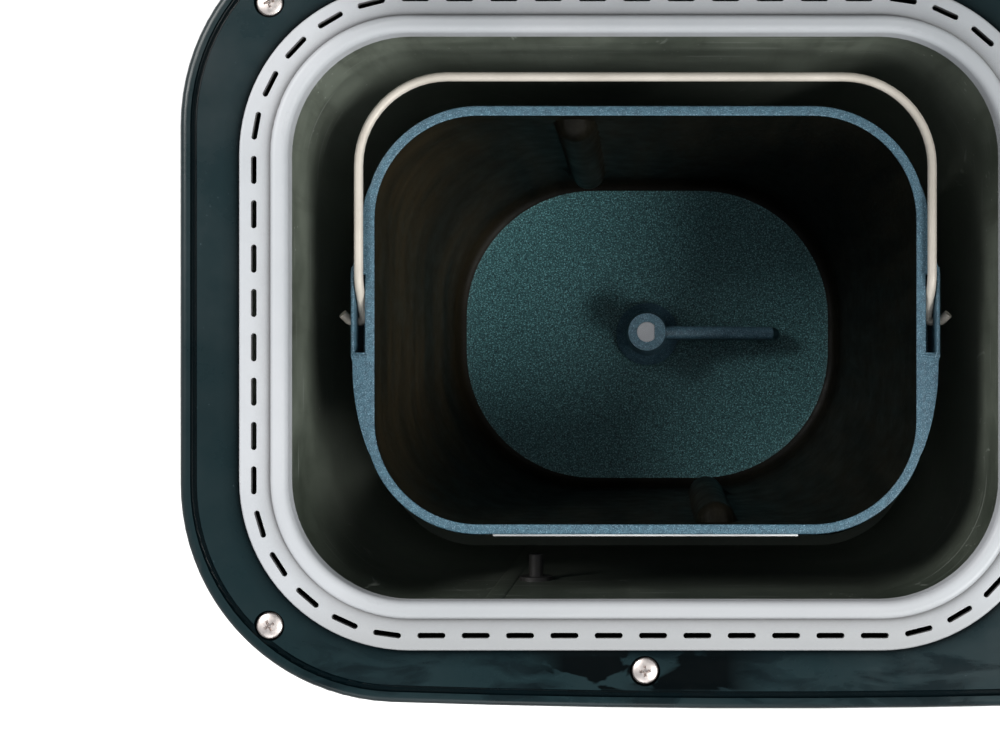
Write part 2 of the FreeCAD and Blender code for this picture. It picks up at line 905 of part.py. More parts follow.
def make_probe():
    """The temperature probe through the chamber's front wall."""
    wall_in = D.chamber_half_y - D.chamber_wall
    start = D.chamber_half_y + 6
    stem = rod(D.probe_x, -start, D.probe_height, D.probe_radius, start - D.probe_tip, "y")
    collar = rod(D.probe_x, -wall_in, D.probe_height, 6, 1.4, "y")
    node(fuse(stem, collar), "temperature_probe")


# ---------------------------------------------------------------- pan and bail

pan_floor = D.pan_top - D.pan_depth
pan_under = pan_floor - D.pan_wall
pivot_z = D.pan_top - D.pivot_drop


def lug_outline(drawn, side):
    """A long low swelling on the pan's end wall that tapers into the wall both ways."""
    places = [(90.5, -42.6), (92.1, -43.2), (95.7, -33), (97.3, -23), (97.6, -13)]
    places += [(D.lug_face, -12.2), (D.lug_face, 16.5), (97, 19), (95.9, 26)]
    places += [(94.2, 35), (92.1, 43), (90.5, 42.6)]
    points = [(side * size(x), y) for x, y in places]
    polygon(drawn, points)


def rib(side):
    """A half-round ridge on a long wall, rounded off at both ends and leaning with the wall."""
    low, high = D.rib_low.value, D.rib_high.value
    top_half = D.pan_half_y.value - D.pan_wall.value
    low_half = D.pan_low_half_y.value - D.pan_wall.value
    lean = (top_half - low_half) / D.pan_depth.value

    def on_wall(z):
        return low_half + lean * (z - pan_floor.value) - 0.6

    x = side * D.rib_x.value
    bottom, top = V(x, -side * on_wall(low), low), V(x, -side * on_wall(high), high)
    run = top - bottom
    bar = Part.makeCylinder(D.rib_radius.value, run.Length, bottom, run)
    ends = [Part.makeSphere(D.rib_radius.value, p) for p in (bottom, top)]
    whole = bar.multiFuse(ends)
    wall_y = top_half + 1
    keep = Part.makeBox(40, 20, 160, V(x - 20, -wall_y if side > 0 else wall_y - 20, low - 20))
    return whole.common(keep)


def make_pan():
    """The cast pan: a drafted bowl with a thick flat rim, two kneading ribs and two lugs."""
    pan = Piece("pan_plain", whole=False)
    low, high = pan.sketch(pan_under), pan.sketch(D.pan_top)
    centred(low, D.pan_low_half_x, D.pan_low_half_y, D.pan_low_radius)
    centred(high, D.pan_half_x, D.pan_half_y, D.pan_radius)
    pan.loft("AdditiveLoft", low, high)
    for side in (-1, 1):
        lug = pan.sketch(D.pan_top - D.lug_height)
        lug_outline(lug, side)
        pan.pad(lug, D.lug_height)
    floor, rim = pan.sketch(pan_floor), pan.sketch(D.pan_top)
    wall = D.pan_wall
    centred(floor, D.pan_low_half_x - wall, D.pan_low_half_y - wall, D.pan_low_radius - wall)
    centred(rim, D.pan_half_x - wall, D.pan_half_y - wall, D.pan_radius - wall)
    pan.loft("SubtractiveLoft", floor, rim)
    pan.fillet(D.pan_fillet, at_height(pan_floor))
    for side in (-1, 1):
        slot = pan.sketch(D.pan_top)
        near, far = side * D.lug_slot_in, side * D.lug_slot_out
        left, right = (near, far) if side > 0 else (far, near)
        outline(slot, left, right, -D.lug_slot_front, D.lug_slot_rear, 1)
        pan.pocket(slot, D.lug_slot_depth)
    hole = pan.sketch(pan_floor)
    circle(hole, 0, 0, D.bush_radius + 1)
    pan.pocket(hole, D.pan_wall)
    pivots = [rod(side * 97.5 - 2.5, 0, pivot_z, D.pivot_hole, 5, "x") for side in (-1, 1)]
    ribs = [shape("pan_rib", rib(side)) for side in (-1, 1)]
    node(fuse(cut(pan.body, *pivots), *ribs), "bread_pan")


def make_pan_base():
    """The skirt under the pan that stands on the seat."""
    low = chassis_top + D.chamber_wall + D.seat_height
    base = Piece("pan_base")
    ring = base.sketch(low)
    circle(ring, 0, 0, D.base_outer)
    circle(ring, 0, 0, D.base_outer - D.base_wall)
    base.pad(ring, pan_under - low)
    base.fillet(0.8, at_height(low))


def make_pan_bearing():
    """The bush in the pan's floor and the lip seal above it."""
    bore = D.shaft_radius + D.running_gap
    outer = fuse(
        rod(0, 0, pan_under - 9, D.bush_radius + 1, D.pan_wall + 9),
        rod(0, 0, pan_under - 3, D.bush_radius + 5, 3),
    )
    node(cut(outer, rod(0, 0, pan_under - 12, bore, 30)), "pan_bush")
    dome = cone(0, 0, pan_floor, D.bush_radius + 1, D.bush_radius - 1, 2.2)
    node(cut(dome, rod(0, 0, pan_floor - 1, bore, 6)), "shaft_seal")


def make_bail():
    """The wire handle, folded back and lying on the lugs, with its ends through the lugs' walls."""
    x, z = D.bail_half_x.value, pivot_z.value
    top, kink, reach = z + D.bail_rise.value, D.bail_kink.value, D.bail_reach.value
    end = D.bail_end.value
    half = [V(end + 2.2, 2.4, z + 1.6), V(end, 0, z), V(x, 0, z), V(x, kink, top), V(x, reach, top)]
    points = [V(-p.x, p.y, p.z) for p in half] + half[::-1]
    radii = [1.7, 1.7, 10, D.bail_corner.value]
    path = path_of(points, radii + radii[::-1])
    node(shape("bail_handle", tube_along(path, D.wire_radius.value)), "bail_handle")


# ---------------------------------------------------------------- drive line

seat_top = chassis_top + D.chamber_wall + D.seat_height
paddle_low = pan_floor + 3


def make_spindle():
    """The shaft through the pan's floor, flatted above for the paddle."""
    low = seat_top + 4
    bar = rod(0, 0, low, D.shaft_radius, pan_floor + 26 - low)
    flat = block(D.shaft_radius - D.flat_depth, 8, -8, 8, paddle_low, pan_floor + 40)
    long = D.wing_half_length
    node(cut(bar, flat), "pan_spindle")
    wings = fuse(
        block(-long, long, -D.wing_half_width, D.wing_half_width, low - 1, low + 6),
        rod(0, 0, low - 1, 8, 7),
    )
    node(cut(wings, rod(0, 0, low, D.shaft_radius, 8)), "spindle_coupler")
    node(washer(0, 0, low + 6.6, 6.4, D.shaft_radius, 1), "spindle_clip")


def make_paddle():
    """The kneading paddle: a tapered hub with a D bore, and one swept blade."""
    hub = cone(0, 0, paddle_low, D.hub_radius, D.hub_radius - 2, D.hub_height)
    blade = Piece("blade_plain", whole=False)
    side = blade.sketch(0, "XZ_Plane")
    low, reach = paddle_low + 0.8, D.blade_reach
    polygon(
        side,
        [(2, low), (reach - 4, low), (reach, low + 3), (reach - 3, low + 11), (26, low + 17), (2, low + 21)],
    )
    made = blade.body.newObject("PartDesign::Pad", "Pad")
    made.Profile = side
    made.Midplane = True
    bind(made, "Length", 5.2)
    doc.recompute()
    blade.fillet(2.2, lambda edge: edge.BoundBox.XMax > 20 and edge.BoundBox.YLength < 0.01)
    web = cone(0, 0, paddle_low, 13, D.hub_radius - 2, 7)
    bore = rod(0, 0, paddle_low - 1, D.shaft_radius + 0.1, 40)
    key = block(D.shaft_radius - D.flat_depth + 0.1, 8, -8, 8, paddle_low - 2, 200)
    node(cut(fuse(hub, web, blade.body), cut(bore, key)), "kneading_paddle")


def make_drive_shaft():
    low = D.pulley_low - 3
    node(rod(0, 0, low, D.shaft_radius, seat_top - low), "drive_shaft")
    disc = fuse(
        rod(0, 0, seat_top - 3, D.coupler_radius, 3),
        block(8, 15, D.wing_half_width + 1, 11.5, seat_top, seat_top + D.dog_height),
        block(-15, -8, -11.5, -D.wing_half_width - 1, seat_top, seat_top + D.dog_height),
    )
    node(cut(disc, rod(0, 0, seat_top - 4, D.shaft_radius, 4)), "drive_coupler")


def make_bearing():
    """The flanged housing under the chamber and its two bushes."""
    low = D.pulley_low + D.pulley_width + 2
    high = chassis_top + D.chamber_wall + 1.5
    body = fuse(rod(0, 0, low, D.housing_radius, high - low), rod(0, 0, D.chassis_low - 3, 29, 3))
    node(cut(body, rod(0, 0, low - 1, D.bush_radius, high - low + 2)), "bearing_housing")
    inner = D.shaft_radius + D.running_gap
    bushes = [washer(0, 0, z, D.bush_radius, inner, D.bush_length) for z in (low, high - D.bush_length)]
    solids("drive_bushes", bushes)


def make_driven_pulley():
    """The large flanged pulley, lightened by six holes."""
    low = D.pulley_low
    pulley = Piece("driven_pulley")
    flange, wide = 1.2, D.pulley_width
    flange_tops = ((low, flange, 2), (low + flange, wide - 2 * flange, 0), (low + wide - flange, flange, 2))
    for height, thick, grow in flange_tops:
        disc = pulley.sketch(height)
        circle(disc, 0, 0, D.pulley_radius + grow)
        pulley.pad(disc, thick)
    for height, depth in ((low + D.pulley_width, 4), (low + 4, 4)):
        dish = pulley.sketch(height)
        circle(dish, 0, 0, D.pulley_radius - 5)
        circle(dish, 0, 0, 11)
        pulley.pocket(dish, depth)
    holes = pulley.sketch(low + D.pulley_width)
    circle(holes, 0, 0, D.shaft_radius)
    for i in range(6):
        turn = math.radians(60 * i)
        circle(holes, 31 * math.cos(turn), 31 * math.sin(turn), 10)
    pulley.pocket(holes, D.pulley_width)


def belt_outline(drawn, gap):
    """Two arcs about the pulleys, joined by the outer tangents."""
    big, small, reach = D.pulley_radius + gap, D.small_pulley + gap, D.motor_x
    tilt = math.degrees(math.acos((big.value - small.value) / reach.value))
    first = drawn.GeometryCount
    drawn.addGeometry(arc(0, 0, big.value, tilt, 360 - tilt))
    drawn.addGeometry(arc(reach.value, 0, small.value, -tilt, tilt))

    def at(centre, radius, angle):
        turn = math.radians(angle)
        return V(centre + radius * math.cos(turn), radius * math.sin(turn), 0)

    ends = [(at(0, big.value, -tilt), at(reach.value, small.value, -tilt))]
    ends.append((at(reach.value, small.value, tilt), at(0, big.value, tilt)))
    for start, end in ends:
        drawn.addGeometry(Part.LineSegment(start, end))
    for a, b, c, d in ((0, 2, 2, 1), (2, 2, 1, 1), (1, 2, 3, 1), (3, 2, 0, 1)):
        drawn.addConstraint(Sketcher.Constraint("Tangent", first + a, b, first + c, d))
    fix(drawn, first, 3, x=0, y=0)
    fix(drawn, first + 1, 3, x=reach, y=0)
    set_radius(drawn, first, big)
    set_radius(drawn, first + 1, small)


def make_belt():
    belt = Piece("drive_belt")
    loop = belt.sketch(D.pulley_low + (D.pulley_width - D.belt_width) / 2)
    belt_outline(loop, D.belt_gap + D.belt_thick)
    belt_outline(loop, D.belt_gap)
    belt.pad(loop, D.belt_width)


def fan_shape(x, low):
    """A hub with eight pitched blades, bored for the motor's shaft."""
    blades = []
    for i in range(8):
        blade = Part.makeBox(20, 1.6, 5, V(6, -0.8, 0))
        blade.rotate(V(), V(1, 0, 0), 25)
        blade.rotate(V(), V(0, 0, 1), 45 * i)
        blade.translate(V(x, 0, low + 0.8))
        blades.append(blade)
    whole = Part.makeCylinder(8, 5.5, V(x, 0, low)).multiFuse(blades)
    return whole.cut(Part.makeCylinder(D.shaft_radius.value, 12, V(x, 0, low - 2)))


def make_motor():
    """The motor on rubber mounts, with its shaft down through the chassis to the small pulley."""
    low = chassis_top + D.mount_height
    x = D.motor_x
    case = fuse(
        rod(x, 0, low, D.motor_radius, D.motor_length),
        rod(x, 0, low + D.motor_length, 10, 3),
        block(x - 27, x + 27, -38, 38, low, low + 3),
    )
    windows = [
        block(x - 40, x + 40, y - 3, y + 3, low + 14, low + D.motor_length - 14) for y in (-12, 0, 12)
    ]
    core = rod(x, 0, low + 10, D.motor_radius - 3, D.motor_length - 20)
    shell = cut(case, *windows)
    bore = rod(x, 0, low - 2, D.shaft_radius + D.running_gap, D.motor_length + 8)
    node(cut(fuse(shell, core), bore), "motor_case")
    mounts = [
        rod(x + dx, dy, chassis_top, 6, D.mount_height) for dx in (-20, 20) for dy in (-32, 32)
    ]
    solids("motor_mounts", mounts)
    node(
        rod(x, 0, D.pulley_low - 2, D.shaft_radius, low + D.motor_length + 10 - D.pulley_low + 2),
        "motor_shaft",
    )
    low_p = D.pulley_low
    pulley = fuse(
        rod(x, 0, low_p, D.small_pulley, D.pulley_width),
        rod(x, 0, low_p, D.small_pulley + 2.5, 1.2),
        rod(x, 0, low_p + D.pulley_width - 1.2, D.small_pulley + 2.5, 1.2),
    )
    node(cut(pulley, rod(x, 0, low_p, D.shaft_radius, D.pulley_width)), "motor_pulley")
    fan_low = low + D.motor_length + 4
    node(shape("motor_fan", fan_shape(x.value, fan_low.value)), "motor_fan")


# ---------------------------------------------------------------- electrics


def make_electrics():
    can = fuse(rod(160, -58, chassis_top, 14, 44), rod(160, -58, chassis_top + 44, 12, 2))
    node(can, "motor_capacitor")
    low = chassis_top + 4
    board = fuse(
        block(136, 208, 70, 71.6, low, low + 56),
        block(142, 162, 60, 70, low + 6, low + 30),
        block(168, 184, 58, 70, low + 8, low + 24),
        block(188, 202, 62, 70, low + 6, low + 20),
        block(144, 156, 64, 70, low + 36, low + 50),
        block(166, 200, 66, 70, low + 34, low + 40),
        block(140, 146, 66, 76, chassis_top, low + 3),
        block(198, 204, 66, 76, chassis_top, low + 3),
    )
    node(board, "power_board")


def make_inlet():
    """A recessed three-pin socket in the rear wall, for a plug-in lead."""
    x, z = D.inlet_x, D.inlet_z
    face = D.body_rear - D.wrap_inset
    hx, hz = D.inlet_half_x, D.inlet_half_z
    shell = fuse(
        block(x - hx, x + hx, face - 22, face, z - hz, z + hz),
        block(x - hx - 3.5, x + hx + 3.5, face, face + 2.2, z - hz - 3, z + hz + 3),
    )
    recess = block(x - hx + 1.8, x + hx - 1.8, face - 15, face + 4, z - hz + 1.8, z + hz - 1.8)
    node(cut(shell, recess), "power_inlet")
    pins = [
        block(x + dx - 1, x + dx + 1, face - 15, face - 4, z + dz - 2, z + dz + 2)
        for dx, dz in ((-7, -2), (7, -2), (0, 2.5))
    ]
    solids("inlet_pins", pins)


# ---------------------------------------------------------------- console

console_top = D.deck_top + D.console_height
console_mid = (D.key_left + D.key_right) / 2
keys = {
    "menu_button": (D.key_left, size(14), D.key_radius),
    "crust_button": (D.key_right, size(14), D.key_radius),
    "timer_down_button": (D.key_left, size(-10), D.key_radius),
    "timer_up_button": (D.key_right, size(-10), D.key_radius),
    "loaf_button": (console_mid, size(-32), D.key_radius),
    "start_button": (console_mid, size(-60), D.start_radius),
}
lcd = (console_mid, size(52), size(22), size(17))


def console_outline(drawn, inset):
    outline(
        drawn,
        D.console_left + inset,
        D.body_right - D.console_inset - inset,
        D.console_inset + inset - D.body_front,
        D.body_rear - D.console_inset - inset,
        D.console_corner - inset,
        D.console_radius - inset,
    )


def make_console():
    """The raised housing of the controls, with holes for the keys and the display."""
    console = Piece("control_console")
    outside = console.sketch(D.deck_top)
    console_outline(outside, size(0))
    console.pad(outside, D.console_height)
    console.fillet(D.console_fillet, at_height(console_top))
    inside = console.sketch(console_top - D.console_wall)
    console_outline(inside, D.console_wall)
    console.pocket(inside, D.console_height - D.console_wall)
    holes = console.sketch(console_top)
    for x, y, radius in keys.values():
        circle(holes, x, y, radius + D.button_gap)
    x, y, half_x, half_y = lcd
    centred(holes, half_x, half_y, 2, x=x, y=y)
    console.pocket(holes, D.console_wall + 1)


def make_fascia():
    """The thin glossy plate round the keys, with the display's window."""
    fascia = Piece("control_fascia")
    drawn = fascia.sketch(console_top)
    outline(drawn, D.fascia_left, D.fascia_right, -D.fascia_front, D.fascia_rear, 6)
    for x, y, radius in keys.values():
        circle(drawn, x, y, radius + D.button_gap)
    x, y, half_x, half_y = lcd
    centred(drawn, half_x, half_y, 2, x=x, y=y)
    fascia.pad(drawn, D.fascia_thick)


def make_display():
    x, y, half_x, half_y = lcd
    lens = Piece("lcd_lens")
    drawn = lens.sketch(console_top - 1)
    centred(drawn, half_x - 0.2, half_y - 0.2, 1.8, x=x, y=y)
    lens.pad(drawn, 1 + D.fascia_thick)
    board_top = D.deck_top + 8 + 1.6
    module = Piece("lcd_module")
    drawn = module.sketch(board_top)
    centred(drawn, half_x - 0.6, half_y - 0.6, 1, x=x, y=y)
    module.pad(drawn, console_top - 1.4 - board_top)
    board = Piece("control_board")
    drawn = board.sketch(D.deck_top + 8)
    outline(drawn, 159.5, 216.5, -72, 72, 2)
    board.pad(drawn, 1.6)
    switches = board.sketch(board_top)
    for kx, ky, _ in keys.values():
        centred(switches, 3, 3, 0.5, x=kx, y=ky)
    board.pad(switches, 2.6)


def make_keys():
    """Each key is a cap with a flange below the console's top that keeps it in."""
    flange_top = console_top - D.console_wall - 0.1
    flange_low = flange_top - D.key_flange
    stem_low = D.deck_top + 8 + 1.6 + 2.6 + D.key_travel + 0.2
    top = console_top + D.fascia_thick + D.button_proud
    for name, (x, y, radius) in keys.items():
        key = Piece(name)
        stem = key.sketch(stem_low)
        circle(stem, x, y, 2.5)
        key.pad(stem, flange_low - stem_low)
        flange = key.sketch(flange_low)
        circle(flange, x, y, radius + 2)
        key.pad(flange, D.key_flange)
        cap = key.sketch(flange_low)
        circle(cap, x, y, radius)
        key.pad(cap, top - flange_low)
        key.fillet(1.2, at_height(top))


# ---------------------------------------------------------------- lid

lid_top = D.lid_low + D.lid_height
OPEN = FreeCAD.Placement(
    V(),
    FreeCAD.Rotation(V(1, 0, 0), -D.open_angle.value),
    V(0, D.hinge_y.value, D.hinge_z.value),
)


def opened(item):
    """Swings a piece of the closed lid up about the hinge, to where it rests."""
    item.Placement = OPEN.multiply(item.Placement)
    return item


def lid_outline(drawn, inset):
    inset = size(inset)
    outline(
        drawn,
        inset - D.lid_left,
        D.lid_right - inset,
        inset - D.lid_front,
        D.lid_rear - inset,
        D.lid_front_radius - inset,
        D.lid_rear_radius - 40 - inset,
    )


def window_outline(drawn, grow):
    grow = size(grow)
    centred(drawn, D.window_half_x + grow, D.window_half_y + grow, D.window_radius + grow, y=D.window_y)


def lid_core():
    """The room inside the lid, rounded like its outside."""
    core = Piece("lid_core", whole=False)
    drawn = core.sketch(D.lid_low)
    lid_outline(drawn, D.lid_wall)
    core.pad(drawn, D.lid_height - D.lid_wall)
    core.fillet(D.lid_fillet - D.lid_wall, at_height(lid_top - D.lid_wall))
    return core.body


def make_lid_shell():
    """The domed outer shell, open below, with a rebated window and steam slots."""
    shell = Piece("lid_plain", whole=False)
    outside = shell.sketch(D.lid_low)
    lid_outline(outside, 0)
    shell.pad(outside, D.lid_height)
    shell.fillet(D.lid_fillet, at_height(lid_top))
    rebate = shell.sketch(lid_top)
    window_outline(rebate, D.window_rebate)
    shell.pocket(rebate, 1.4)
    opening = shell.sketch(lid_top)
    window_outline(opening, 0)
    shell.pocket(opening, D.lid_wall + 1)
    knuckles = []
    for side in (-1, 1):
        x = side * D.hinge_x - D.knuckle_half
        barrel = rod(x, D.hinge_y, D.hinge_z, D.knuckle_radius, 2 * D.knuckle_half, "x")
        low, high = D.hinge_z - 3, D.hinge_z + D.knuckle_radius
        arm = block(x, x + 2 * D.knuckle_half, D.lid_rear - 2, D.hinge_y, low, high)
        knuckles.append(fuse(barrel, arm))
    pins = [
        rod(side * D.hinge_x - 16, D.hinge_y, D.hinge_z, D.pin_radius, 32, "x") for side in (-1, 1)
    ]
    steam = [
        block(x, x + 14, y, y + 2.6, lid_top - 6, lid_top + 1)
        for x in range(-47, 40, 20)
        for y in (56, 64, 72)
    ]
    whole = cut(fuse(cut(shell.body, lid_core()), *knuckles), *pins, *steam)
    opened(node(whole, "lid_shell"))


def make_liner():
    """The pressed inner cover, with the window's opening."""
    liner = Piece("lid_liner")
    drawn = liner.sketch(D.liner_low)
    lid_outline(drawn, D.lid_wall + D.liner_gap)
    window_outline(drawn, 0)
    liner.pad(drawn, D.liner_thick)
    bead = liner.sketch(D.liner_low + D.liner_thick)
    window_outline(bead, 8)
    window_outline(bead, 3.5)
    liner.pad(bead, 2)
    opened(liner.body)


def make_lid_seal():
    """The silicone strip that lies in the ring's step when the lid is shut."""
    seal = Piece("lid_seal")
    drawn = seal.sketch(D.deck_top + D.flange_height + 0.4)
    mouth_outline(drawn, D.lip_width + 3.2)
    mouth_outline(drawn, D.lip_width + 0.6)
    seal.pad(drawn, D.liner_low - D.deck_top - D.flange_height - 0.4)
    seal.fillet(0.9, at_height(D.deck_top + D.flange_height + 0.4))
    opened(seal.body)


def make_windows():
    pane = Piece("lid_window")
    drawn = pane.sketch(lid_top - 1.4)
    window_outline(drawn, D.window_rebate - 0.2)
    pane.pad(drawn, 1.9)
    pane.fillet(0.4, at_height(lid_top + 0.5))
    opened(pane.body)
    tunnel = Piece("window_frame")
    low = D.liner_low + D.liner_thick
    drawn = tunnel.sketch(low)
    window_outline(drawn, 3.3)
    window_outline(drawn, 0)
    tunnel.pad(drawn, lid_top - D.lid_wall - low)
    opened(tunnel.body)
    inner = Piece("inner_window")
    drawn = inner.sketch(D.liner_low)
    window_outline(drawn, -0.2)
    inner.pad(drawn, D.glass_thick)
    opened(inner.body)


def make_grip():
    """The lip under the fingers at the lid's front edge."""
    grip = Piece("lid_grip")
    drawn = grip.sketch(D.lid_low + 6)
    outline(drawn, -38, 38, -D.lid_front - 9, -D.lid_front, 4)
    grip.pad(drawn, 9)
    grip.fillet(3, at_height(D.lid_low + 15))
    opened(grip.body)


def make_hinges():
    """Two pairs of ears on the deck, with a steel pin through each pair and the lid's knuckle."""
    brackets = []
    for side in (-1, 1):
        x = side * D.hinge_x
        gap = D.knuckle_half + D.ear_gap
        half = gap + D.ear_thick
        foot = block(x - half, x + half, D.hinge_y - 5, D.hinge_y + 7, D.deck_top, D.deck_top + 2)
        ears = []
        for left in (x - gap - D.ear_thick, x + gap):
            front, rear = D.hinge_y - 5, D.hinge_y + 5
            ears.append(block(left, left + D.ear_thick, front, rear, D.deck_top, D.hinge_z))
            ears.append(rod(left, D.hinge_y, D.hinge_z, 5, D.ear_thick, "x"))
        bore = rod(x - 20, D.hinge_y, D.hinge_z, D.pin_radius + 0.05, 40, "x")
        brackets.append(cut(fuse(foot, *ears), bore))
    solids("hinge_brackets", brackets)
    pins = [
        rod(side * D.hinge_x - 15.3, D.hinge_y, D.hinge_z, D.pin_radius, 30.6, "x") for side in (-1, 1)
    ]
    group = solids("hinge_pins", pins)
    return group


def make_liner_screws():
    """Short screws that hold the liner, seen on the lid's inner face."""
    screws = []
    for x in (-128, 128):
        for y in (-60, 60):
            head = cone(x, y, D.liner_low - 1.6, 2.4, 3.4, 1.6)
            cross = block(x - 1.4, x + 1.4, y - 0.3, y + 0.3, D.liner_low - 1.7, D.liner_low - 1)
            screws.append(cut(head, cross))
    opened(solids("liner_screws", screws))


# ---------------------------------------------------------------- build and write

for make in (
    make_base_tray,
    make_feet,
    make_base_screws,
    make_wrap,
    make_deck_frame,
    make_slot_ring,
    make_deck_screws,
    make_chassis,
    make_chamber,
    make_pan_seat,
    make_pan_clips,
    make_heater,
    make_heater_bushings,
    make_heater_clips,
    make_probe,
    make_pan,
    make_pan_base,
    make_pan_bearing,
    make_bail,
    make_spindle,
    make_paddle,
    make_drive_shaft,
    make_bearing,
    make_driven_pulley,
    make_belt,
    make_motor,
    make_electrics,
    make_inlet,
    make_console,
    make_fascia,
    make_display,
    make_keys,
    make_lid_shell,
    make_liner,
    make_lid_seal,
    make_windows,
    make_grip,
    make_hinges,
    make_liner_screws,
):
    make()
doc.recompute()

broken = [item.Label for item in doc.Objects if {"Invalid", "Error"} & set(item.State)]
broken += [label for label, item in nodes.items() if item.Shape.isNull() or not item.Shape.isValid()]
if broken:
    raise SystemExit(f"these objects failed: {broken}")

os.makedirs("parts", exist_ok=True)
for label, item in nodes.items():
    item.Shape.exportStep(f"parts/{label}.step")
    print(f"{label:20s} {len(item.Shape.Solids)} solids {item.Shape.Volume / 1000:9.2f} cm3")
print(len(nodes), "nodes")
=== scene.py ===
"""Looks for the bread machine: procedural materials, fine pieces, floor, light and camera."""

import json
import math

import bmesh
import bpy
from mathutils import Matrix, Vector


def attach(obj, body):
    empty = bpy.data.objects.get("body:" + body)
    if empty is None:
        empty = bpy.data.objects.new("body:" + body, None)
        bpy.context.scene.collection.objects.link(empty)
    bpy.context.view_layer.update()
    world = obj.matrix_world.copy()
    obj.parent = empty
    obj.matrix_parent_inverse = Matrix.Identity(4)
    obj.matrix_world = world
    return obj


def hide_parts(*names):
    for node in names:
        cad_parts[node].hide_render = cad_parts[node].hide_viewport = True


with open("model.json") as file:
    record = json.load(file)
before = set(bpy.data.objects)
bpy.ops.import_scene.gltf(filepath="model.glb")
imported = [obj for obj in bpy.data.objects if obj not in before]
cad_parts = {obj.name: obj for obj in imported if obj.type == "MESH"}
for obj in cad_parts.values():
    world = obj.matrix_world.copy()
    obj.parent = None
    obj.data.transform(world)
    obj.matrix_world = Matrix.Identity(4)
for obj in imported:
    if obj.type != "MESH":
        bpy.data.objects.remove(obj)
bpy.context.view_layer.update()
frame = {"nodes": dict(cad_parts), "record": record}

MM = 0.001
NODES = frame["nodes"]


# ------------------------------------------------------------------ materials


class Look:
    """A node material, built from a few procedural patterns in object coordinates (metres)."""

    def __init__(self, name, color, rough, metal=0.0, **sockets):
        self.mat = bpy.data.materials.new(name)
        self.mat.use_nodes = True
        self.tree = self.mat.node_tree
        self.shader = self.tree.nodes["Principled BSDF"]
        self.set("Base Color", (*color, 1))
        self.set("Roughness", rough)
        self.set("Metallic", metal)
        for key, value in sockets.items():
            self.set(key.replace("_", " "), value)
        self.place = self.add("ShaderNodeTexCoord").outputs["Object"]
        self.normal = None

    def add(self, kind, **props):
        made = self.tree.nodes.new(kind)
        for key, value in props.items():
            setattr(made, key, value)
        return made

    def link(self, source, target):
        self.tree.links.new(source, target)

    def set(self, socket, value):
        self.shader.inputs[socket].default_value = value

    def stretched(self, x, y, z):
        """Object coordinates, scaled along each axis."""
        mapping = self.add("ShaderNodeMapping")
        mapping.inputs["Scale"].default_value = (x, y, z)
        self.link(self.place, mapping.inputs["Vector"])
        return mapping.outputs["Vector"]

    def noise(self, scale, detail=4.0, rough=0.55, twist=0.0, at=None):
        made = self.add("ShaderNodeTexNoise")
        made.inputs["Scale"].default_value = scale
        made.inputs["Detail"].default_value = detail
        made.inputs["Roughness"].default_value = rough
        made.inputs["Distortion"].default_value = twist
        self.link(at or self.place, made.inputs["Vector"])
        return made.outputs["Fac"]

    def cells(self, scale, feature="F1", at=None, jitter=1.0):
        made = self.add("ShaderNodeTexVoronoi", feature=feature)
        made.inputs["Scale"].default_value = scale
        made.inputs["Randomness"].default_value = jitter
        self.link(at or self.place, made.inputs["Vector"])
        return made.outputs["Distance"]

    def span(self, fac, low, high, to_low=0.0, to_high=1.0):
        """fac between low and high, spread to to_low..to_high and kept there."""
        made = self.add("ShaderNodeMapRange", clamp=True)
        for socket, value in (("From Min", low), ("From Max", high), ("To Min", to_low), ("To Max", to_high)):
            made.inputs[socket].default_value = value
        self.link(fac, made.inputs["Value"])
        return made.outputs["Result"]

    def maths(self, operation, a, b):
        made = self.add("ShaderNodeMath", operation=operation)
        for i, value in enumerate((a, b)):
            if isinstance(value, (int, float)):
                made.inputs[i].default_value = value
            else:
                self.link(value, made.inputs[i])
        return made.outputs[0]

    def axis(self, name):
        """One coordinate of the place, in metres."""
        made = self.add("ShaderNodeSeparateXYZ")
        self.link(self.place, made.inputs[0])
        return made.outputs[name]

    def facing(self, name):
        """One part of the surface's direction, in the object's own axes."""
        made = self.add("ShaderNodeSeparateXYZ")
        self.link(self.add("ShaderNodeTexCoord").outputs["Normal"], made.inputs[0])
        return made.outputs[name]

    def hidden(self, reach):
        """0 in the open and 1 deep in a corner or groove that is about reach metres across."""
        made = self.add("ShaderNodeAmbientOcclusion", samples=6)
        made.inputs["Distance"].default_value = reach
        return self.maths("SUBTRACT", 1.0, made.outputs["AO"])

    def mix(self, fac, a, b):
        """Colour a where fac is 0 and b where it is 1."""
        made = self.add("ShaderNodeMix", data_type="RGBA")
        self.link(fac, made.inputs[0])
        for index, value in ((6, a), (7, b)):
            if isinstance(value, tuple):
                made.inputs[index].default_value = (*value, 1)
            else:
                self.link(value, made.inputs[index])
        return made.outputs[2]

    def color(self, source):
        self.link(source, self.shader.inputs["Base Color"])

    def rough(self, source):
        self.link(source, self.shader.inputs["Roughness"])

    def bump(self, height, distance, strength=1.0):
        """Raises the surface by height; several bumps add up."""
        made = self.add("ShaderNodeBump")
        made.inputs["Strength"].default_value = strength
        made.inputs["Distance"].default_value = distance
        self.link(height, made.inputs["Height"])
        if self.normal is not None:
            self.link(self.normal, made.inputs["Normal"])
        self.normal = made.outputs["Normal"]
        self.link(self.normal, self.shader.inputs["Normal"])


def moulded(name, color, rough, grain=0.00006, scale=1400, spread=0.18, wear=None):
    """Moulded plastic: fine grain, uneven sheen and slight tone variation."""
    look = Look(name, color, rough)
    tone = look.noise(18, 3)
    dark = tuple(c * (1 - spread) for c in color)
    light = tuple(min(1, c * (1 + spread)) for c in color)
    look.color(look.mix(look.span(tone, 0.35, 0.65), dark, wear or light))
    look.rough(look.span(look.noise(60, 5), 0.3, 0.7, rough - 0.06, rough + 0.08))
    look.bump(look.noise(scale, 2), grain, 0.5)
    return look


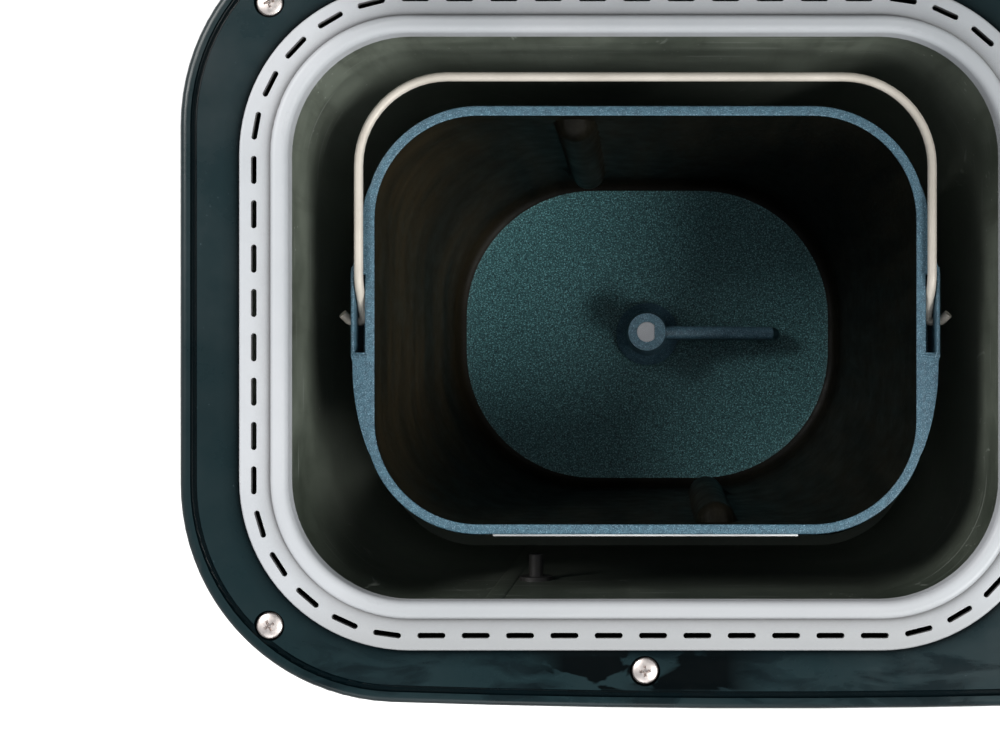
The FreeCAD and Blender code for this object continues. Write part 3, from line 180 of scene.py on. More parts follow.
def metal(name, color, rough, streak=(900, 30, 900), depth=0.00002, spread=0.12):
    """Metal with a fine directional finish."""
    look = Look(name, color, rough, 1.0)
    lines = look.noise(1.0, 3, 0.6, at=look.stretched(*streak))
    clouds = look.noise(25, 4)
    dark = tuple(c * (1 - spread) for c in color)
    light = tuple(min(1, c * (1 + spread / 2)) for c in color)
    drawn = look.mix(look.span(lines, 0.3, 0.7), dark, light)
    look.color(look.mix(look.span(clouds, 0.35, 0.7, 0.0, 0.6), drawn, color))
    look.rough(look.span(lines, 0.3, 0.7, rough - 0.07, rough + 0.1))
    look.bump(lines, depth, 0.35)
    return look


def gloss_look(name, rim):
    """Glossy dark green-black plastic with dust; a deck's rim has painted shade on its down-turned edges and
    in its groove, smears, and a dark patch by the front screw.
    """
    look = Look(name, (0.004, 0.013, 0.016), 0.26, Specular_IOR_Level=0.27)
    tone = look.noise(9, 3)
    base = look.mix(look.span(tone, 0.3, 0.7), (0.0028, 0.0105, 0.0125), (0.0055, 0.0165, 0.0195))
    dust = look.span(look.cells(420), 0.045, 0.09, 1.0, 0.0)
    sparse = look.span(look.noise(55, 2), 0.56, 0.62)
    specks = look.maths("MULTIPLY", dust, sparse)
    finish = look.mix(look.maths("MULTIPLY", specks, 0.5), base, (0.10, 0.14, 0.16))
    sheen = look.span(look.noise(9, 2), 0.3, 0.7, 0.25, 0.3)
    if rim:
        sheen = look.span(look.noise(30, 6, 0.65), 0.35, 0.68, 0.24, 0.4)
        # Painted shade: where the rim's surface turns away from straight up, its colour is darkened, and
        # below it also gets less specular.
        turned = look.span(look.facing("Z"), 0.55, 0.995, 1.0, 0.0)
        finish = look.mix(turned, finish, (0.0018, 0.0062, 0.0078))
        # Painted shade: the groove and other hollows near the rim's edge are darkened in colour by an
        # ambient-occlusion mask, and below they also lose specular.
        groove = look.span(look.hidden(0.006), 0.01, 0.16)
        finish = look.mix(groove, finish, (0.0008, 0.003, 0.004))
        front = look.span(look.axis("Y"), -0.109, -0.1, 1.0, 0.0)
        smears = look.span(look.noise(1.0, 4, 0.55, 0.6, at=look.stretched(38, 110, 38)), 0.48, 0.62)
        wiped = look.maths("MULTIPLY", front, smears)
        finish = look.mix(look.maths("MULTIPLY", wiped, 0.75), finish, (0.0012, 0.0045, 0.006))
        sheen = look.maths("SUBTRACT", sheen, look.maths("MULTIPLY", wiped, 0.1))
        # Dark irregular patches in a strip at the front edge beside the middle screw: darker colour and less
        # specular.
        beside = look.span(look.maths("ABSOLUTE", look.axis("X"), 0.0), 0.026, 0.04, 1.0, 0.0)
        strip = look.span(look.axis("Y"), -0.121, -0.119)
        patch_noise = look.span(look.noise(1.0, 3, 0.5, 0.5, at=look.stretched(60, 90, 60)), 0.44, 0.47)
        near_screw = look.maths("MULTIPLY", front, beside)
        patch_strip = look.maths("MULTIPLY", strip, patch_noise)
        dark_patch = look.maths("MULTIPLY", near_screw, patch_strip)
        finish = look.mix(dark_patch, finish, (0.0008, 0.0018, 0.0022))
        dull = look.maths("MAXIMUM", look.maths("MAXIMUM", turned, groove), dark_patch)
        look.link(look.span(dull, 0.0, 1.0, 0.27, 0.06), look.shader.inputs["Specular IOR Level"])
    look.color(finish)
    look.rough(sheen)
    look.bump(look.noise(260, 2), 0.00003, 0.25)
    look.bump(look.noise(45, 2), 0.0002, 0.1)
    return look


def ring_look():
    """Pale moulded ring, a little yellowed, with dust low in its step, painted shade over its front and
    painted shade in the crease of its step.
    """
    look = Look("ring_grey_look", (0.40, 0.41, 0.43), 0.46, Specular_IOR_Level=0.3)
    tone = look.noise(14, 4)
    tone_and_shade = look.mix(look.span(tone, 0.3, 0.7), (0.365, 0.38, 0.40), (0.42, 0.43, 0.45))
    # Painted shade: the front of the ring is darkened in colour.
    front = look.span(look.axis("Y"), -0.104, -0.086, 0.8, 0.0)
    tone_and_shade = look.mix(front, tone_and_shade, (0.275, 0.28, 0.285))
    low = look.span(look.axis("Z"), 0.2385, 0.2402, 1.0, 0.0)
    grime = look.maths("MULTIPLY", low, look.span(look.noise(70, 5, 0.7), 0.45, 0.75, 0.0, 0.4))
    dust_and_shade = look.mix(grime, tone_and_shade, (0.25, 0.24, 0.235))
    # Painted shade: the crease between flange and lip, and other hollows, are darkened by an
    # ambient-occlusion mask.
    look.color(look.mix(look.span(look.hidden(0.006), 0.04, 0.27, 0.0, 0.9), dust_and_shade, (0.10, 0.098, 0.098)))
    look.rough(look.span(look.noise(80, 4), 0.3, 0.7, 0.36, 0.52))
    look.bump(look.noise(1600, 2), 0.00005, 0.4)
    return look


def oven_look():
    """Zinc-coated sheet that heat and crumbs have mottled, with pale scuffs and dark drips; painted light
    brightens it low in the chamber and painted shade darkens the upper front wall.
    """
    look = Look("oven_steel_look", (0.13, 0.14, 0.12), 0.5, 0.2)
    clouds = look.noise(22, 6, 0.62, 0.4)
    base = look.mix(look.span(clouds, 0.3, 0.7), (0.055, 0.066, 0.050), (0.165, 0.185, 0.150))
    runs_and_sheen = look.span(look.noise(1.0, 5, 0.7, at=look.stretched(90, 90, 14)), 0.5, 0.72)
    stains_light_and_shade = look.mix(look.maths("MULTIPLY", runs_and_sheen, 0.6), base, (0.035, 0.038, 0.028))
    # Painted light: the walls are lightened in colour towards the bottom of the chamber.
    deep = look.span(look.axis("Z"), 0.12, 0.228, 0.8, 0.0)
    stains_light_and_shade = look.mix(deep, stains_light_and_shade, (0.34, 0.385, 0.32))
    # Painted shade: the upper part of the front wall is darkened in colour.
    baked_and_shade = look.span(look.axis("Y"), -0.094, -0.03, 0.8, 0.0)
    baked_and_shade = look.maths("MULTIPLY", baked_and_shade, look.span(look.axis("Z"), 0.13, 0.19))
    stains_light_and_shade = look.mix(baked_and_shade, stains_light_and_shade, (0.016, 0.023, 0.016))
    scuff = look.span(look.noise(1.0, 3, 0.75, 1.5, at=look.stretched(60, 60, 34)), 0.66, 0.74)
    wear_light_and_shade = look.mix(look.maths("MULTIPLY", scuff, 0.6), stains_light_and_shade, (0.42, 0.45, 0.40))
    scratch = look.span(look.noise(1.0, 1, 0.5, 0.3, at=look.stretched(24, 24, 900)), 0.7, 0.735)
    wear_light_and_shade = look.mix(look.maths("MULTIPLY", scratch, 0.5), wear_light_and_shade, (0.34, 0.36, 0.33))
    specks = look.span(look.cells(260), 0.06, 0.12, 1.0, 0.0)
    few = look.span(look.noise(40, 2), 0.58, 0.64)
    look.color(look.mix(look.maths("MULTIPLY", specks, few), wear_light_and_shade, (0.4, 0.42, 0.38)))
    look.rough(look.span(clouds, 0.3, 0.7, 0.36, 0.62))
    look.bump(look.noise(180, 5), 0.00025, 0.3)
    look.bump(look.noise(12, 2), 0.0012, 0.25)
    return look


def speckle(look, low, high, light, dark, amount, fine=1.0):
    """A stone-like coat with light and dark grains; fine below 1 makes the grains wider."""
    ground = look.mix(look.span(look.noise(500, 3), 0.35, 0.65), low, high)
    grains = look.span(look.noise(2300 * fine, 2, 0.7), 0.52, 0.66, 0.0, amount)
    spotted = look.mix(grains, ground, light)
    dots = look.span(look.cells(1000), 0.1, 0.2, 1.0, 0.0)
    flecks = look.maths("MULTIPLY", dots, look.span(look.noise(300, 2), 0.5, 0.6))
    spotted = look.mix(look.maths("MULTIPLY", flecks, amount), spotted, tuple(min(1, c * 1.5) for c in light))
    pits = look.span(look.noise(1900 * fine, 2, 0.7, 0.3), 0.34, 0.44, amount, 0.0)
    look.color(look.mix(pits, spotted, dark))
    look.rough(look.span(look.noise(260, 4), 0.3, 0.7, 0.42, 0.58))
    look.bump(look.noise(1100, 3), 0.00014, 0.5)
    return look


def pan_look():
    """Blue-grey speckled coat, as on the rim and the outside."""
    look = Look("pan_coating_look", (0.05, 0.10, 0.14), 0.5, Specular_IOR_Level=0.4)
    low, high = (0.026, 0.066, 0.094), (0.050, 0.116, 0.156)
    light, dark = (0.20, 0.31, 0.39), (0.010, 0.026, 0.042)
    return speckle(look, low, high, light, dark, amount=0.75)


def floor_coat_look():
    """The same coat on the pan's floor: dark teal with fine pale grains."""
    look = Look("pan_floor_look", (0.01, 0.03, 0.035), 0.55, Specular_IOR_Level=0.3)
    low, high = (0.012, 0.054, 0.060), (0.031, 0.108, 0.115)
    light, dark = (0.19, 0.42, 0.45), (0.002, 0.007, 0.009)
    return speckle(look, low, high, light, dark, amount=0.85, fine=0.68)


def wall_coat_look():
    """The coat on the pan's inner walls, painted near-black as a shaded copy of the rim's coat: brown at the
    left end from baking, with a soft vertical sheen painted in as faint streaks.
    """
    look = Look("pan_wall_look", (0.005, 0.004, 0.003), 0.5, Specular_IOR_Level=0.07)
    # Painted shade: the wall coat's ground is near-black, a shaded copy of the rim's coat; the faint vertical
    # streaks in it are a painted sheen.
    runs_and_sheen = look.noise(1.0, 4, 0.6, at=look.stretched(110, 110, 16))
    ground = look.mix(look.span(runs_and_sheen, 0.3, 0.7), (0.0014, 0.0014, 0.0008), (0.0055, 0.0048, 0.003))
    baked_and_shade = look.noise(1.0, 4, 0.6, at=look.stretched(9, 9, 60))
    browned = look.mix(look.span(baked_and_shade, 0.4, 0.7), (0.008, 0.0065, 0.0035), (0.026, 0.018, 0.008))
    ground = look.mix(look.span(look.axis("X"), -0.088, -0.05, 0.85, 0.0), ground, browned)
    grains = look.span(look.noise(2100, 2, 0.7), 0.58, 0.68, 0.0, 0.4)
    look.color(look.mix(grains, ground, (0.026, 0.024, 0.018)))
    look.rough(look.span(look.noise(120, 5), 0.3, 0.7, 0.36, 0.55))
    look.bump(look.noise(1000, 3), 0.0001, 0.4)
    look.bump(look.noise(60, 2), 0.0003, 0.2)
    return look


def wire_look():
    """Warm satin steel wire, drawn lengthwise."""
    look = Look("wire_steel_look", (0.56, 0.51, 0.45), 0.55, 0.2, Specular_IOR_Level=0.35)
    tone = look.noise(60, 4)
    look.color(look.mix(look.span(tone, 0.3, 0.7), (0.46, 0.42, 0.365), (0.58, 0.535, 0.475)))
    look.rough(look.span(look.noise(220, 3), 0.3, 0.7, 0.5, 0.64))
    look.bump(look.noise(1.0, 2, at=look.stretched(1500, 300, 1500)), 0.00003, 0.4)
    return look


def glass_look(name, color, alpha):
    """Smoked glass: clear gloss with faint smears."""
    look = Look(name, color, 0.06, Alpha=alpha, Coat_Weight=0.3)
    look.rough(look.span(look.noise(24, 5, 0.7), 0.45, 0.75, 0.03, 0.14))
    look.color(look.mix(look.span(look.noise(8, 2), 0.3, 0.7), color, tuple(c * 0.8 for c in color)))
    return look


def board_look():
    """Green board with a fine pattern of tracks."""
    look = Look("board_green_look", (0.03, 0.14, 0.07), 0.38)
    tracks = look.span(look.cells(160, "F1", jitter=0.4), 0.28, 0.34)
    look.color(look.mix(tracks, (0.02, 0.10, 0.05), (0.05, 0.22, 0.11)))
    look.rough(look.span(look.noise(90), 0.3, 0.7, 0.3, 0.46))
    look.bump(tracks, 0.00004, 0.5)
    return look


def ceramic_look():
    look = Look("ceramic_white_look", (0.74, 0.70, 0.62), 0.3)
    look.color(look.mix(look.span(look.noise(120), 0.4, 0.7), (0.76, 0.72, 0.65), (0.62, 0.55, 0.45)))
    look.bump(look.noise(500, 3), 0.00006, 0.4)
    return look


def cast_look():
    look = Look("cast_aluminium_look", (0.48, 0.48, 0.47), 0.5, 1.0)
    look.color(look.mix(look.span(look.noise(70, 5), 0.3, 0.7), (0.36, 0.36, 0.36), (0.55, 0.55, 0.54)))
    look.rough(look.span(look.noise(160, 4), 0.3, 0.7, 0.4, 0.62))
    look.bump(look.noise(600, 4), 0.0002, 0.5)
    return look


def lcd_look():
    """The unlit display's grey-green layer."""
    look = Look("lcd_panel_look", (0.30, 0.36, 0.27), 0.4)
    look.color(look.mix(look.span(look.noise(35, 2), 0.3, 0.7), (0.27, 0.33, 0.25), (0.33, 0.39, 0.30)))
    look.rough(look.span(look.noise(200), 0.3, 0.7, 0.34, 0.46))
    look.bump(look.noise(1200, 2), 0.00003, 0.4)
    return look


LOOKS = {
    "deck_black": gloss_look("deck_black_look", False),
    "deck_rim": gloss_look("deck_rim_look", True),
    "ring_grey": ring_look(),
    "base_black": moulded("base_black_look", (0.016, 0.017, 0.018), 0.55, 0.0001, 1100),
    "steel_sheet": metal("steel_sheet_look", (0.37, 0.37, 0.365), 0.3, (10, 10, 1500), 0.00005, 0.22),
    "oven_steel": oven_look(),
    "zinc_steel": metal("zinc_steel_look", (0.46, 0.47, 0.48), 0.4, (300, 300, 300), 0.00004),
    "pan_coating": pan_look(),
    "pan_floor": floor_coat_look(),
    "pan_wall": wall_coat_look(),
    "cast_aluminium": cast_look(),
    "wire_steel": wire_look(),
    "screw_steel": metal("screw_steel_look", (0.66, 0.60, 0.575), 0.45, (500, 500, 60), 0.00004),
    "shaft_steel": metal("shaft_steel_look", (0.56, 0.56, 0.57), 0.22, (60, 60, 2600), 0.00001),
    "heater_sheath": moulded("heater_sheath_look", (0.035, 0.033, 0.032), 0.5, 0.0001, 700),
    "ceramic_white": ceramic_look(),
    "bronze": metal("bronze_look", (0.50, 0.33, 0.14), 0.38, (500, 500, 500), 0.00003),
    "pulley_nylon": moulded("pulley_nylon_look", (0.62, 0.60, 0.53), 0.45, 0.00008),
    "belt_rubber": moulded("belt_rubber_look", (0.012, 0.012, 0.012), 0.7, 0.00015, 900),
    "foot_rubber": moulded("foot_rubber_look", (0.018, 0.018, 0.019), 0.75, 0.00015, 800),
    "motor_steel": metal("motor_steel_look", (0.22, 0.23, 0.24), 0.45, (40, 40, 1500), 0.0001),
    "board_green": board_look(),
    "inlet_black": moulded("inlet_black_look", (0.012, 0.012, 0.013), 0.4),
    "pin_brass": metal("pin_brass_look", (0.66, 0.58, 0.42), 0.28, (60, 900, 900), 0.00002),
    "console_black": moulded("console_black_look", (0.0095, 0.0175, 0.021), 0.34, 0.00004, 240),
    "fascia_black": moulded("fascia_black_look", (0.005, 0.0065, 0.0075), 0.16, 0.00001, 200),
    "lcd_glass": glass_look("lcd_glass_look", (0.12, 0.15, 0.13), 0.35),
    "lcd_panel": lcd_look(),
    "key_silver": moulded("key_silver_look", (0.36, 0.37, 0.39), 0.38, 0.00005, 300, 0.06),
    "start_red": moulded("start_red_look", (0.24, 0.017, 0.012), 0.36, 0.00004, 300, 0.1),
    "silicone_red": moulded("silicone_red_look", (0.30, 0.05, 0.03), 0.55),
    "silicone_grey": moulded("silicone_grey_look", (0.42, 0.43, 0.43), 0.55, spread=0.06),
    "window_glass": glass_look("window_glass_look", (0.030, 0.034, 0.036), 0.68),
    "bare_metal": moulded("bare_metal_look", (0.78, 0.79, 0.80), 0.4, 0.00004, 900, 0.3),
    "print_dark": moulded("print_dark_look", (0.02, 0.022, 0.025), 0.5, spread=0.1),
    "print_pale": moulded("print_pale_look", (0.46, 0.48, 0.49), 0.5, spread=0.08),
    "segment": moulded("segment_look", (0.15, 0.185, 0.135), 0.45, spread=0.06),
    "liner_aluminium": metal("liner_aluminium_look", (0.36, 0.36, 0.36), 0.44, (14, 900, 900), 0.00003, 0.12),
}
SLOT_OF = {part["node"]: part["material_slot"] for part in frame["record"]["subparts"]}


def dress(obj, slot):
    obj.data.materials.clear()
    obj.data.materials.append(LOOKS[slot].mat)


for name, obj in NODES.items():
    dress(obj, SLOT_OF[name])
dress(NODES["deck_frame"], "deck_rim")


# ------------------------------------------------------------------ fine pieces


def loose(name, bm):
    """Makes an object of bm that rides on nothing yet."""
    mesh = bpy.data.meshes.new(name)
    bmesh.ops.recalc_face_normals(bm, faces=bm.faces)
    bm.to_mesh(mesh)
    bm.free()
    obj = bpy.data.objects.new(name, mesh)
    bpy.context.scene.collection.objects.link(obj)
    return obj


def shade(mesh, sharp):
    """Shades the mesh smooth, but for edges sharper than that angle in degrees."""
    for polygon in mesh.polygons:
        polygon.use_smooth = True
    mesh.set_sharp_from_angle(angle=math.radians(sharp))


def new_piece(name, bm, body, slots, sharp=40):
    """Makes an object of bm that rides on a body, with the looks that its faces' indexes choose from."""
    obj = loose(name, bm)
    shade(obj.data, sharp)
    for slot in slots:
        obj.data.materials.append(LOOKS[slot].mat)
    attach(obj, body)
    return obj


STRAIGHT_X, STRAIGHT_Y, CORNER = 112, 36, 22  # points along each side and round each corner


def rounded(half_x, half_y, radius):
    """A rounded rectangle's points, counter-clockwise, the same number whatever its size."""
    points = []
    a, b = half_x - radius, half_y - radius
    sides = (((-a, -half_y), (a, -half_y), STRAIGHT_X), ((half_x, -b), (half_x, b), STRAIGHT_Y))
    sides += (((a, half_y), (-a, half_y), STRAIGHT_X), ((-half_x, b), (-half_x, -b), STRAIGHT_Y))
    centres = ((a, -b, -90), (a, b, 0), (-a, b, 90), (-a, -b, 180))
    for (start, end, count), (cx, cy, turn) in zip(sides, centres):
        for i in range(count):
            t = i / count
            points.append((start[0] + t * (end[0] - start[0]), start[1] + t * (end[1] - start[1])))
        for i in range(CORNER):
            angle = math.radians(turn + 90 * i / CORNER)
            points.append((cx + radius * math.cos(angle), cy + radius * math.sin(angle)))
    return points


def skin(bm, rings, material=lambda i: 0):
    """Quads between rings of points; every ring has the same number of them."""
    rows = [[bm.verts.new(Vector(p) * MM) for p in ring] for ring in rings]
    count = len(rows[0])
    for i in range(len(rows) - 1):
        for j in range(count):
            k = (j + 1) % count
            face = bm.faces.new((rows[i][j], rows[i][k], rows[i + 1][k], rows[i + 1][j]))
            face.material_index = material(i)
    return rows


# The pan, in millimetres: its heights, its outline at the top and at the foot, and its two kneading ribs.
PAN_TOP, PAN_FLOOR, PAN_UNDER = 220.0, 92.0, 88.7
TOP_X, TOP_Y, TOP_R = 93.6, 71.4, 37.7
LOW_X, LOW_Y, LOW_R = 82.8, 67.3, 61.0
WALL = 3.3
RIB_X, RIB_R, RIB_LOW, RIB_HIGH = 24.0, 7.0, 112.0, 207.0
FOOT_ROUND, RIM_ROUND_OUT, RIM_ROUND_IN, FLOOR_ROUND = 4, 0.7, 0.6, 5
SPINDLE_HOLE = 8.4
LUG_FOOT, PIVOT_Z = 203.2, 212.0


def pan_size(z):
    """The pan's outer outline at a height: half sizes and corner radius. The sides bow very slightly."""
    t = (z - PAN_UNDER) / (PAN_TOP - PAN_UNDER)
    bow = 0.5 * math.sin(math.pi * min(1, max(0, t)))
    size = [low + (high - low) * t for low, high in ((LOW_X, TOP_X), (LOW_Y, TOP_Y), (LOW_R, TOP_R))]
    return size[0] + bow, size[1] + bow, size[2] + bow


def pan_ring(z, inset, ribs=False):
    """The pan's outline at a height, set in by some millimetres, with the ribs standing out of the walls."""
    half_x, half_y, radius = pan_size(z)
    points = []
    for x, y in rounded(half_x - inset, half_y - inset, max(3.0, radius - inset)):
        if ribs:
            side = -1 if y < 0 else 1
            off_axis = x + side * RIB_X
            beyond = max(0.0, RIB_LOW - z, z - RIB_HIGH)
            room = RIB_R ** 2 - off_axis ** 2 - (beyond * 1.1) ** 2
            if abs(y) > half_y - inset - 3 and room > 0:
                y -= side * max(0.0, math.sqrt(room) - 0.6)
        points.append((x, y, z))
    return points


def make_pan():
    """The pan's shell: outer side, rounded rim, inner walls with two ribs, floor fillet and floor."""
    rings, kinds = [], []

    def ring(z, inset, kind, ribs=False):
        rings.append(pan_ring(z, inset, ribs))
        kinds.append(kind)

    outside, inside, floor = 0, 1, 2
    for angle in range(0, 91, 15):
        turn = math.radians(angle)
        ring(PAN_UNDER + FOOT_ROUND * (1 - math.cos(turn)), FOOT_ROUND * (1 - math.sin(turn)), outside)
    low, high = PAN_UNDER + FOOT_ROUND, PAN_TOP - RIM_ROUND_OUT
    for i in range(1, 24):
        ring(low + (high - low) * i / 24, 0, outside)
    for angle in range(0, 91, 18):
        turn = math.radians(angle)
        ring(high + RIM_ROUND_OUT * math.sin(turn), RIM_ROUND_OUT * (1 - math.cos(turn)), outside)
    high = PAN_TOP - RIM_ROUND_IN
    for angle in range(0, 91, 18):
        turn = math.radians(angle)
        kind = outside if angle < 72 else inside
        ring(high + RIM_ROUND_IN * math.cos(turn), WALL - RIM_ROUND_IN * (1 - math.sin(turn)), kind)
    steps = 64
    for i in range(1, steps):
        ring(high - (high - PAN_FLOOR - FLOOR_ROUND) * i / steps, WALL, inside, True)
    for angle in range(0, 91, 15):
        turn = math.radians(angle)
        kind = floor if angle >= 75 else inside
        ring(PAN_FLOOR + FLOOR_ROUND * (1 - math.sin(turn)), WALL + FLOOR_ROUND * (1 - math.cos(turn)), kind)
    outline = [(x, y) for x, y, _ in rings[-1]]
    smallest = 0.16
    for share in (0.75, 0.5, 0.3, smallest):
        inward = []
        for x, y in outline:
            reach = math.hypot(x, y)
            round_x, round_y = SPINDLE_HOLE * x / reach, SPINDLE_HOLE * y / reach
            blend = (share - smallest) / (1 - smallest)
            inward.append((round_x + (x - round_x) * blend, round_y + (y - round_y) * blend, PAN_FLOOR))
        rings.append(inward)
        kinds.append(floor)
    bm = bmesh.new()
    skin(bm, rings, material=lambda i: kinds[i])
    return new_piece("pan_shell", bm, "pan", ["pan_coating", "pan_wall", "pan_floor"], 50)


def prism(bm, outline, low, high):
    """A straight prism on an outline."""
    bottom = [bm.verts.new((x * MM, y * MM, low * MM)) for x, y in outline]
    top = [bm.verts.new((x * MM, y * MM, high * MM)) for x, y in outline]
    bm.faces.new(bottom)
    bm.faces.new(list(reversed(top)))
    for i in range(len(outline)):
        j = (i + 1) % len(outline)
        bm.faces.new((bottom[i], top[i], top[j], bottom[j]))


def applied(obj):
    """Applies the object's modifiers to its mesh."""
    graph = bpy.context.evaluated_depsgraph_get()
    mesh = bpy.data.meshes.new_from_object(obj.evaluated_get(graph))
    obj.modifiers.clear()
    obj.data = mesh


def carve(obj, cutter):
    """Takes cutter's room out of obj, and removes the cutter."""
    modifier = obj.modifiers.new("carve", "BOOLEAN")
    modifier.operation = "DIFFERENCE"
    modifier.solver = "EXACT"
    modifier.object = cutter
    applied(obj)
    bpy.data.objects.remove(cutter)


def bevel(obj, width, segments=3, angle=30):
    """Rounds the object's sharp edges, and shades it smooth."""
    modifier = obj.modifiers.new("bevel", "BEVEL")
    modifier.width = width * MM
    modifier.segments = segments
    modifier.limit_method = "ANGLE"
    modifier.angle_limit = math.radians(angle)
    modifier.harden_normals = True
    for polygon in obj.data.polygons:
        polygon.use_smooth = True


def smooth_line(points, steps=6):
    """Points along a smooth curve through the given ones (Catmull-Rom)."""
    made = []
    for i in range(len(points) - 1):
        p0, p1 = points[max(0, i - 1)], points[i]
        p2, p3 = points[i + 1], points[min(len(points) - 1, i + 2)]
        for k in range(steps):
            t = k / steps
            spot = []
            for a, b, c, d in zip(p0, p1, p2, p3):
                square, cube = 2 * a - 5 * b + 4 * c - d, 3 * b - a - 3 * c + d
                spot.append(0.5 * (2 * b + (c - a) * t + square * t * t + cube * t ** 3))
            made.append(tuple(spot))
    made.append(points[-1])
    return made


def make_lugs():
    """The swellings on the pan's ends that taper into the wall, each with the bail's slot and pivot hole."""
    for side, name in ((-1, "pan_lug_left"), (1, "pan_lug_right")):
        face = smooth_line([(90.9, -46.5), (93.1, -42), (95.7, -33), (97.3, -23), (97.7, -14)])
        face += smooth_line([(98.2, -12), (98.2, 0), (98.2, 16)], 3)
        face += smooth_line([(97.2, 19), (95.9, 27), (94.4, 36), (93.0, 42), (91.0, 46.5)])
        inner = [(90.0, 45), (91.6, 38), (91.6, -38), (90.0, -45)]
        outline = [(side * x, y) for x, y in face + inner]
        bm = bmesh.new()
        prism(bm, outline, LUG_FOOT, PAN_TOP - 0.04)
        lug = loose(name, bm)
        slot = bmesh.new()
        slot_line = [(side * x, y) for x, y in ((93.3, -10.8), (96.9, -10.8), (96.9, 15.2), (93.3, 15.2))]
        prism(slot, slot_line, LUG_FOOT + 2.8, PAN_TOP + 4)
        carve(lug, loose("slot", slot))
        hole = bmesh.new()
        at = Matrix.Translation((side * 98 * MM, 0, PIVOT_Z * MM)) @ Matrix.Rotation(math.pi / 2, 4, "Y")
        wide = 1.7 * MM
        bmesh.ops.create_cone(
            hole, cap_ends=True, segments=24, radius1=wide, radius2=wide, depth=5 * MM, matrix=at
        )
        carve(lug, loose("hole", hole))
        lug.data.materials.append(LOOKS["pan_coating"].mat)
        bevel(lug, 0.45)
        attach(lug, "pan")


def bent(points, radii, step=6):
    """A line through points with its corners rounded to the given radii."""
    line = [Vector(points[0])]
    for before, corner, after, radius in zip(points, points[1:], points[2:], radii):
        before, corner, after = Vector(before), Vector(corner), Vector(after)
        back, ahead = (before - corner).normalized(), (after - corner).normalized()
        turn = math.pi - back.angle(ahead)
        reach = radius * math.tan(turn / 2)
        centre = corner + (back + ahead).normalized() * (radius / math.cos(turn / 2))
        start = corner + back * reach - centre
        end = corner + ahead * reach - centre
        count = max(3, int(math.degrees(turn) / step))
        for i in range(count + 1):
            t = i / count
            swept = start * math.sin((1 - t) * turn) + end * math.sin(t * turn)
            line.append(centre + swept / math.sin(turn))
    line.append(Vector(points[-1]))
    return line


def sweep(bm, line, radius, sides=18):
    """A round bar along a line, its cross-section carried without twist."""
    rings = []
    ahead = (line[1] - line[0]).normalized()
    across = ahead.orthogonal().normalized()
    for i, point in enumerate(line):
        before, after = line[max(0, i - 1)], line[min(len(line) - 1, i + 1)]
        tangent = (after - before).normalized()
        across = (across - tangent * across.dot(tangent)).normalized()
        other = tangent.cross(across)
        turns = [2 * math.pi * k / sides for k in range(sides)]
        rings.append([tuple(point + (across * math.cos(a) + other * math.sin(a)) * radius) for a in turns])
    rows = skin(bm, rings)
    bm.faces.new(list(reversed(rows[0])))
    bm.faces.new(rows[-1])


def make_bail():
    """The wire bail: each end is hooked through its lug."""
    x, z, top, kink, reach, end = 95.15, PIVOT_Z, 221.75, 12.5, 80.6, 100.0
    half = [(end + 2.2, 2.4, z + 1.6), (end, 0, z), (x, 0, z), (x, kink, top), (x, reach, top)]
    points = [(-a, b, c) for a, b, c in half] + half[::-1]
    radii = [1.7, 1.7, 10, 29.5]
    line = bent(points, radii + radii[::-1])
    bm = bmesh.new()
    sweep(bm, line, 1.5)
    bail = new_piece("bail_wire", bm, "bail", ["wire_steel"])
    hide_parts("bail_handle")


# The console, in millimetres: the heights that are printed on, the ink's height, and where things are.
FASCIA_TOP, KEY_TOP, DISPLAY_TOP = 263.2, 265.2, 260.6
INK, INK_ROOT = 0.06, 0.02
KEY_PLACES = {
    "menu": (174, 14),
    "crust": (202, 14),
    "timer_down": (174, -10),
    "timer_up": (202, -10),
    "loaf": (188, -32),
    "start": (188, -60),
}
DISPLAY = (188, 52)


def arc(x, y, radius, start, end, count=20):
    """Points on an arc between two angles in degrees."""
    turns = [math.radians(start + (end - start) * i / count) for i in range(count + 1)]
    return [(x + radius * math.cos(a), y + radius * math.sin(a)) for a in turns]


def band(x, y, radius, wide, start=0, end=360):
    """The outline of a curved stripe."""
    return arc(x, y, radius + wide / 2, start, end) + list(reversed(arc(x, y, radius - wide / 2, start, end)))


def bar(x, y, long, wide):
    """The outline of a straight stripe."""
    a, b = long / 2, wide / 2
    return [(x - a, y - b), (x + a, y - b), (x + a, y + b), (x - a, y + b)]


def printed(bm, outline, top):
    """Ink of one outline on a face at that height."""
    prism(bm, outline, top - INK_ROOT, top + INK)


def mark_shapes(name):
    """The plain sign on a key, as outlines about its centre."""
    if name == "menu":
        return [bar(0, y, 5.2, 0.8) for y in (-2, 0, 2)]
    if name == "crust":
        return [band(0, 0, 2.9, 0.6, 0, 180), band(0, 0, 2.9, 0.6, 180, 360), arc(0, 0, 1.9, -90, 90)]
    if name in ("timer_down", "timer_up"):
        way = 1 if name == "timer_up" else -1
        return [[(-2.8, -1.6 * way), (2.8, -1.6 * way), (0, 2.6 * way)]]
    if name == "loaf":
        crown = arc(-1.5, 1.2, 1.6, 200, 90, 8) + arc(1.5, 1.2, 1.6, 90, -20, 8)
        return [crown + [(2.4, -2.4), (-2.4, -2.4)]]
    return [[(-4.2, -2.6), (-4.2, 2.6), (-0.2, 0)], bar(3, 0, 0.9, 5), bar(1.4, 0, 0.9, 5)]


def make_key_marks():
    """Plain signs printed on the keys: bars, browning, arrows, loaf, and start with pause."""
    for name, (x, y) in KEY_PLACES.items():
        bm = bmesh.new()
        for shape in mark_shapes(name):
            printed(bm, [(x + a, y + b) for a, b in shape], KEY_TOP)
        slot = "print_pale" if name == "start" else "print_dark"
        new_piece(f"{name}_mark", bm, f"{name}_key", [slot], 20)


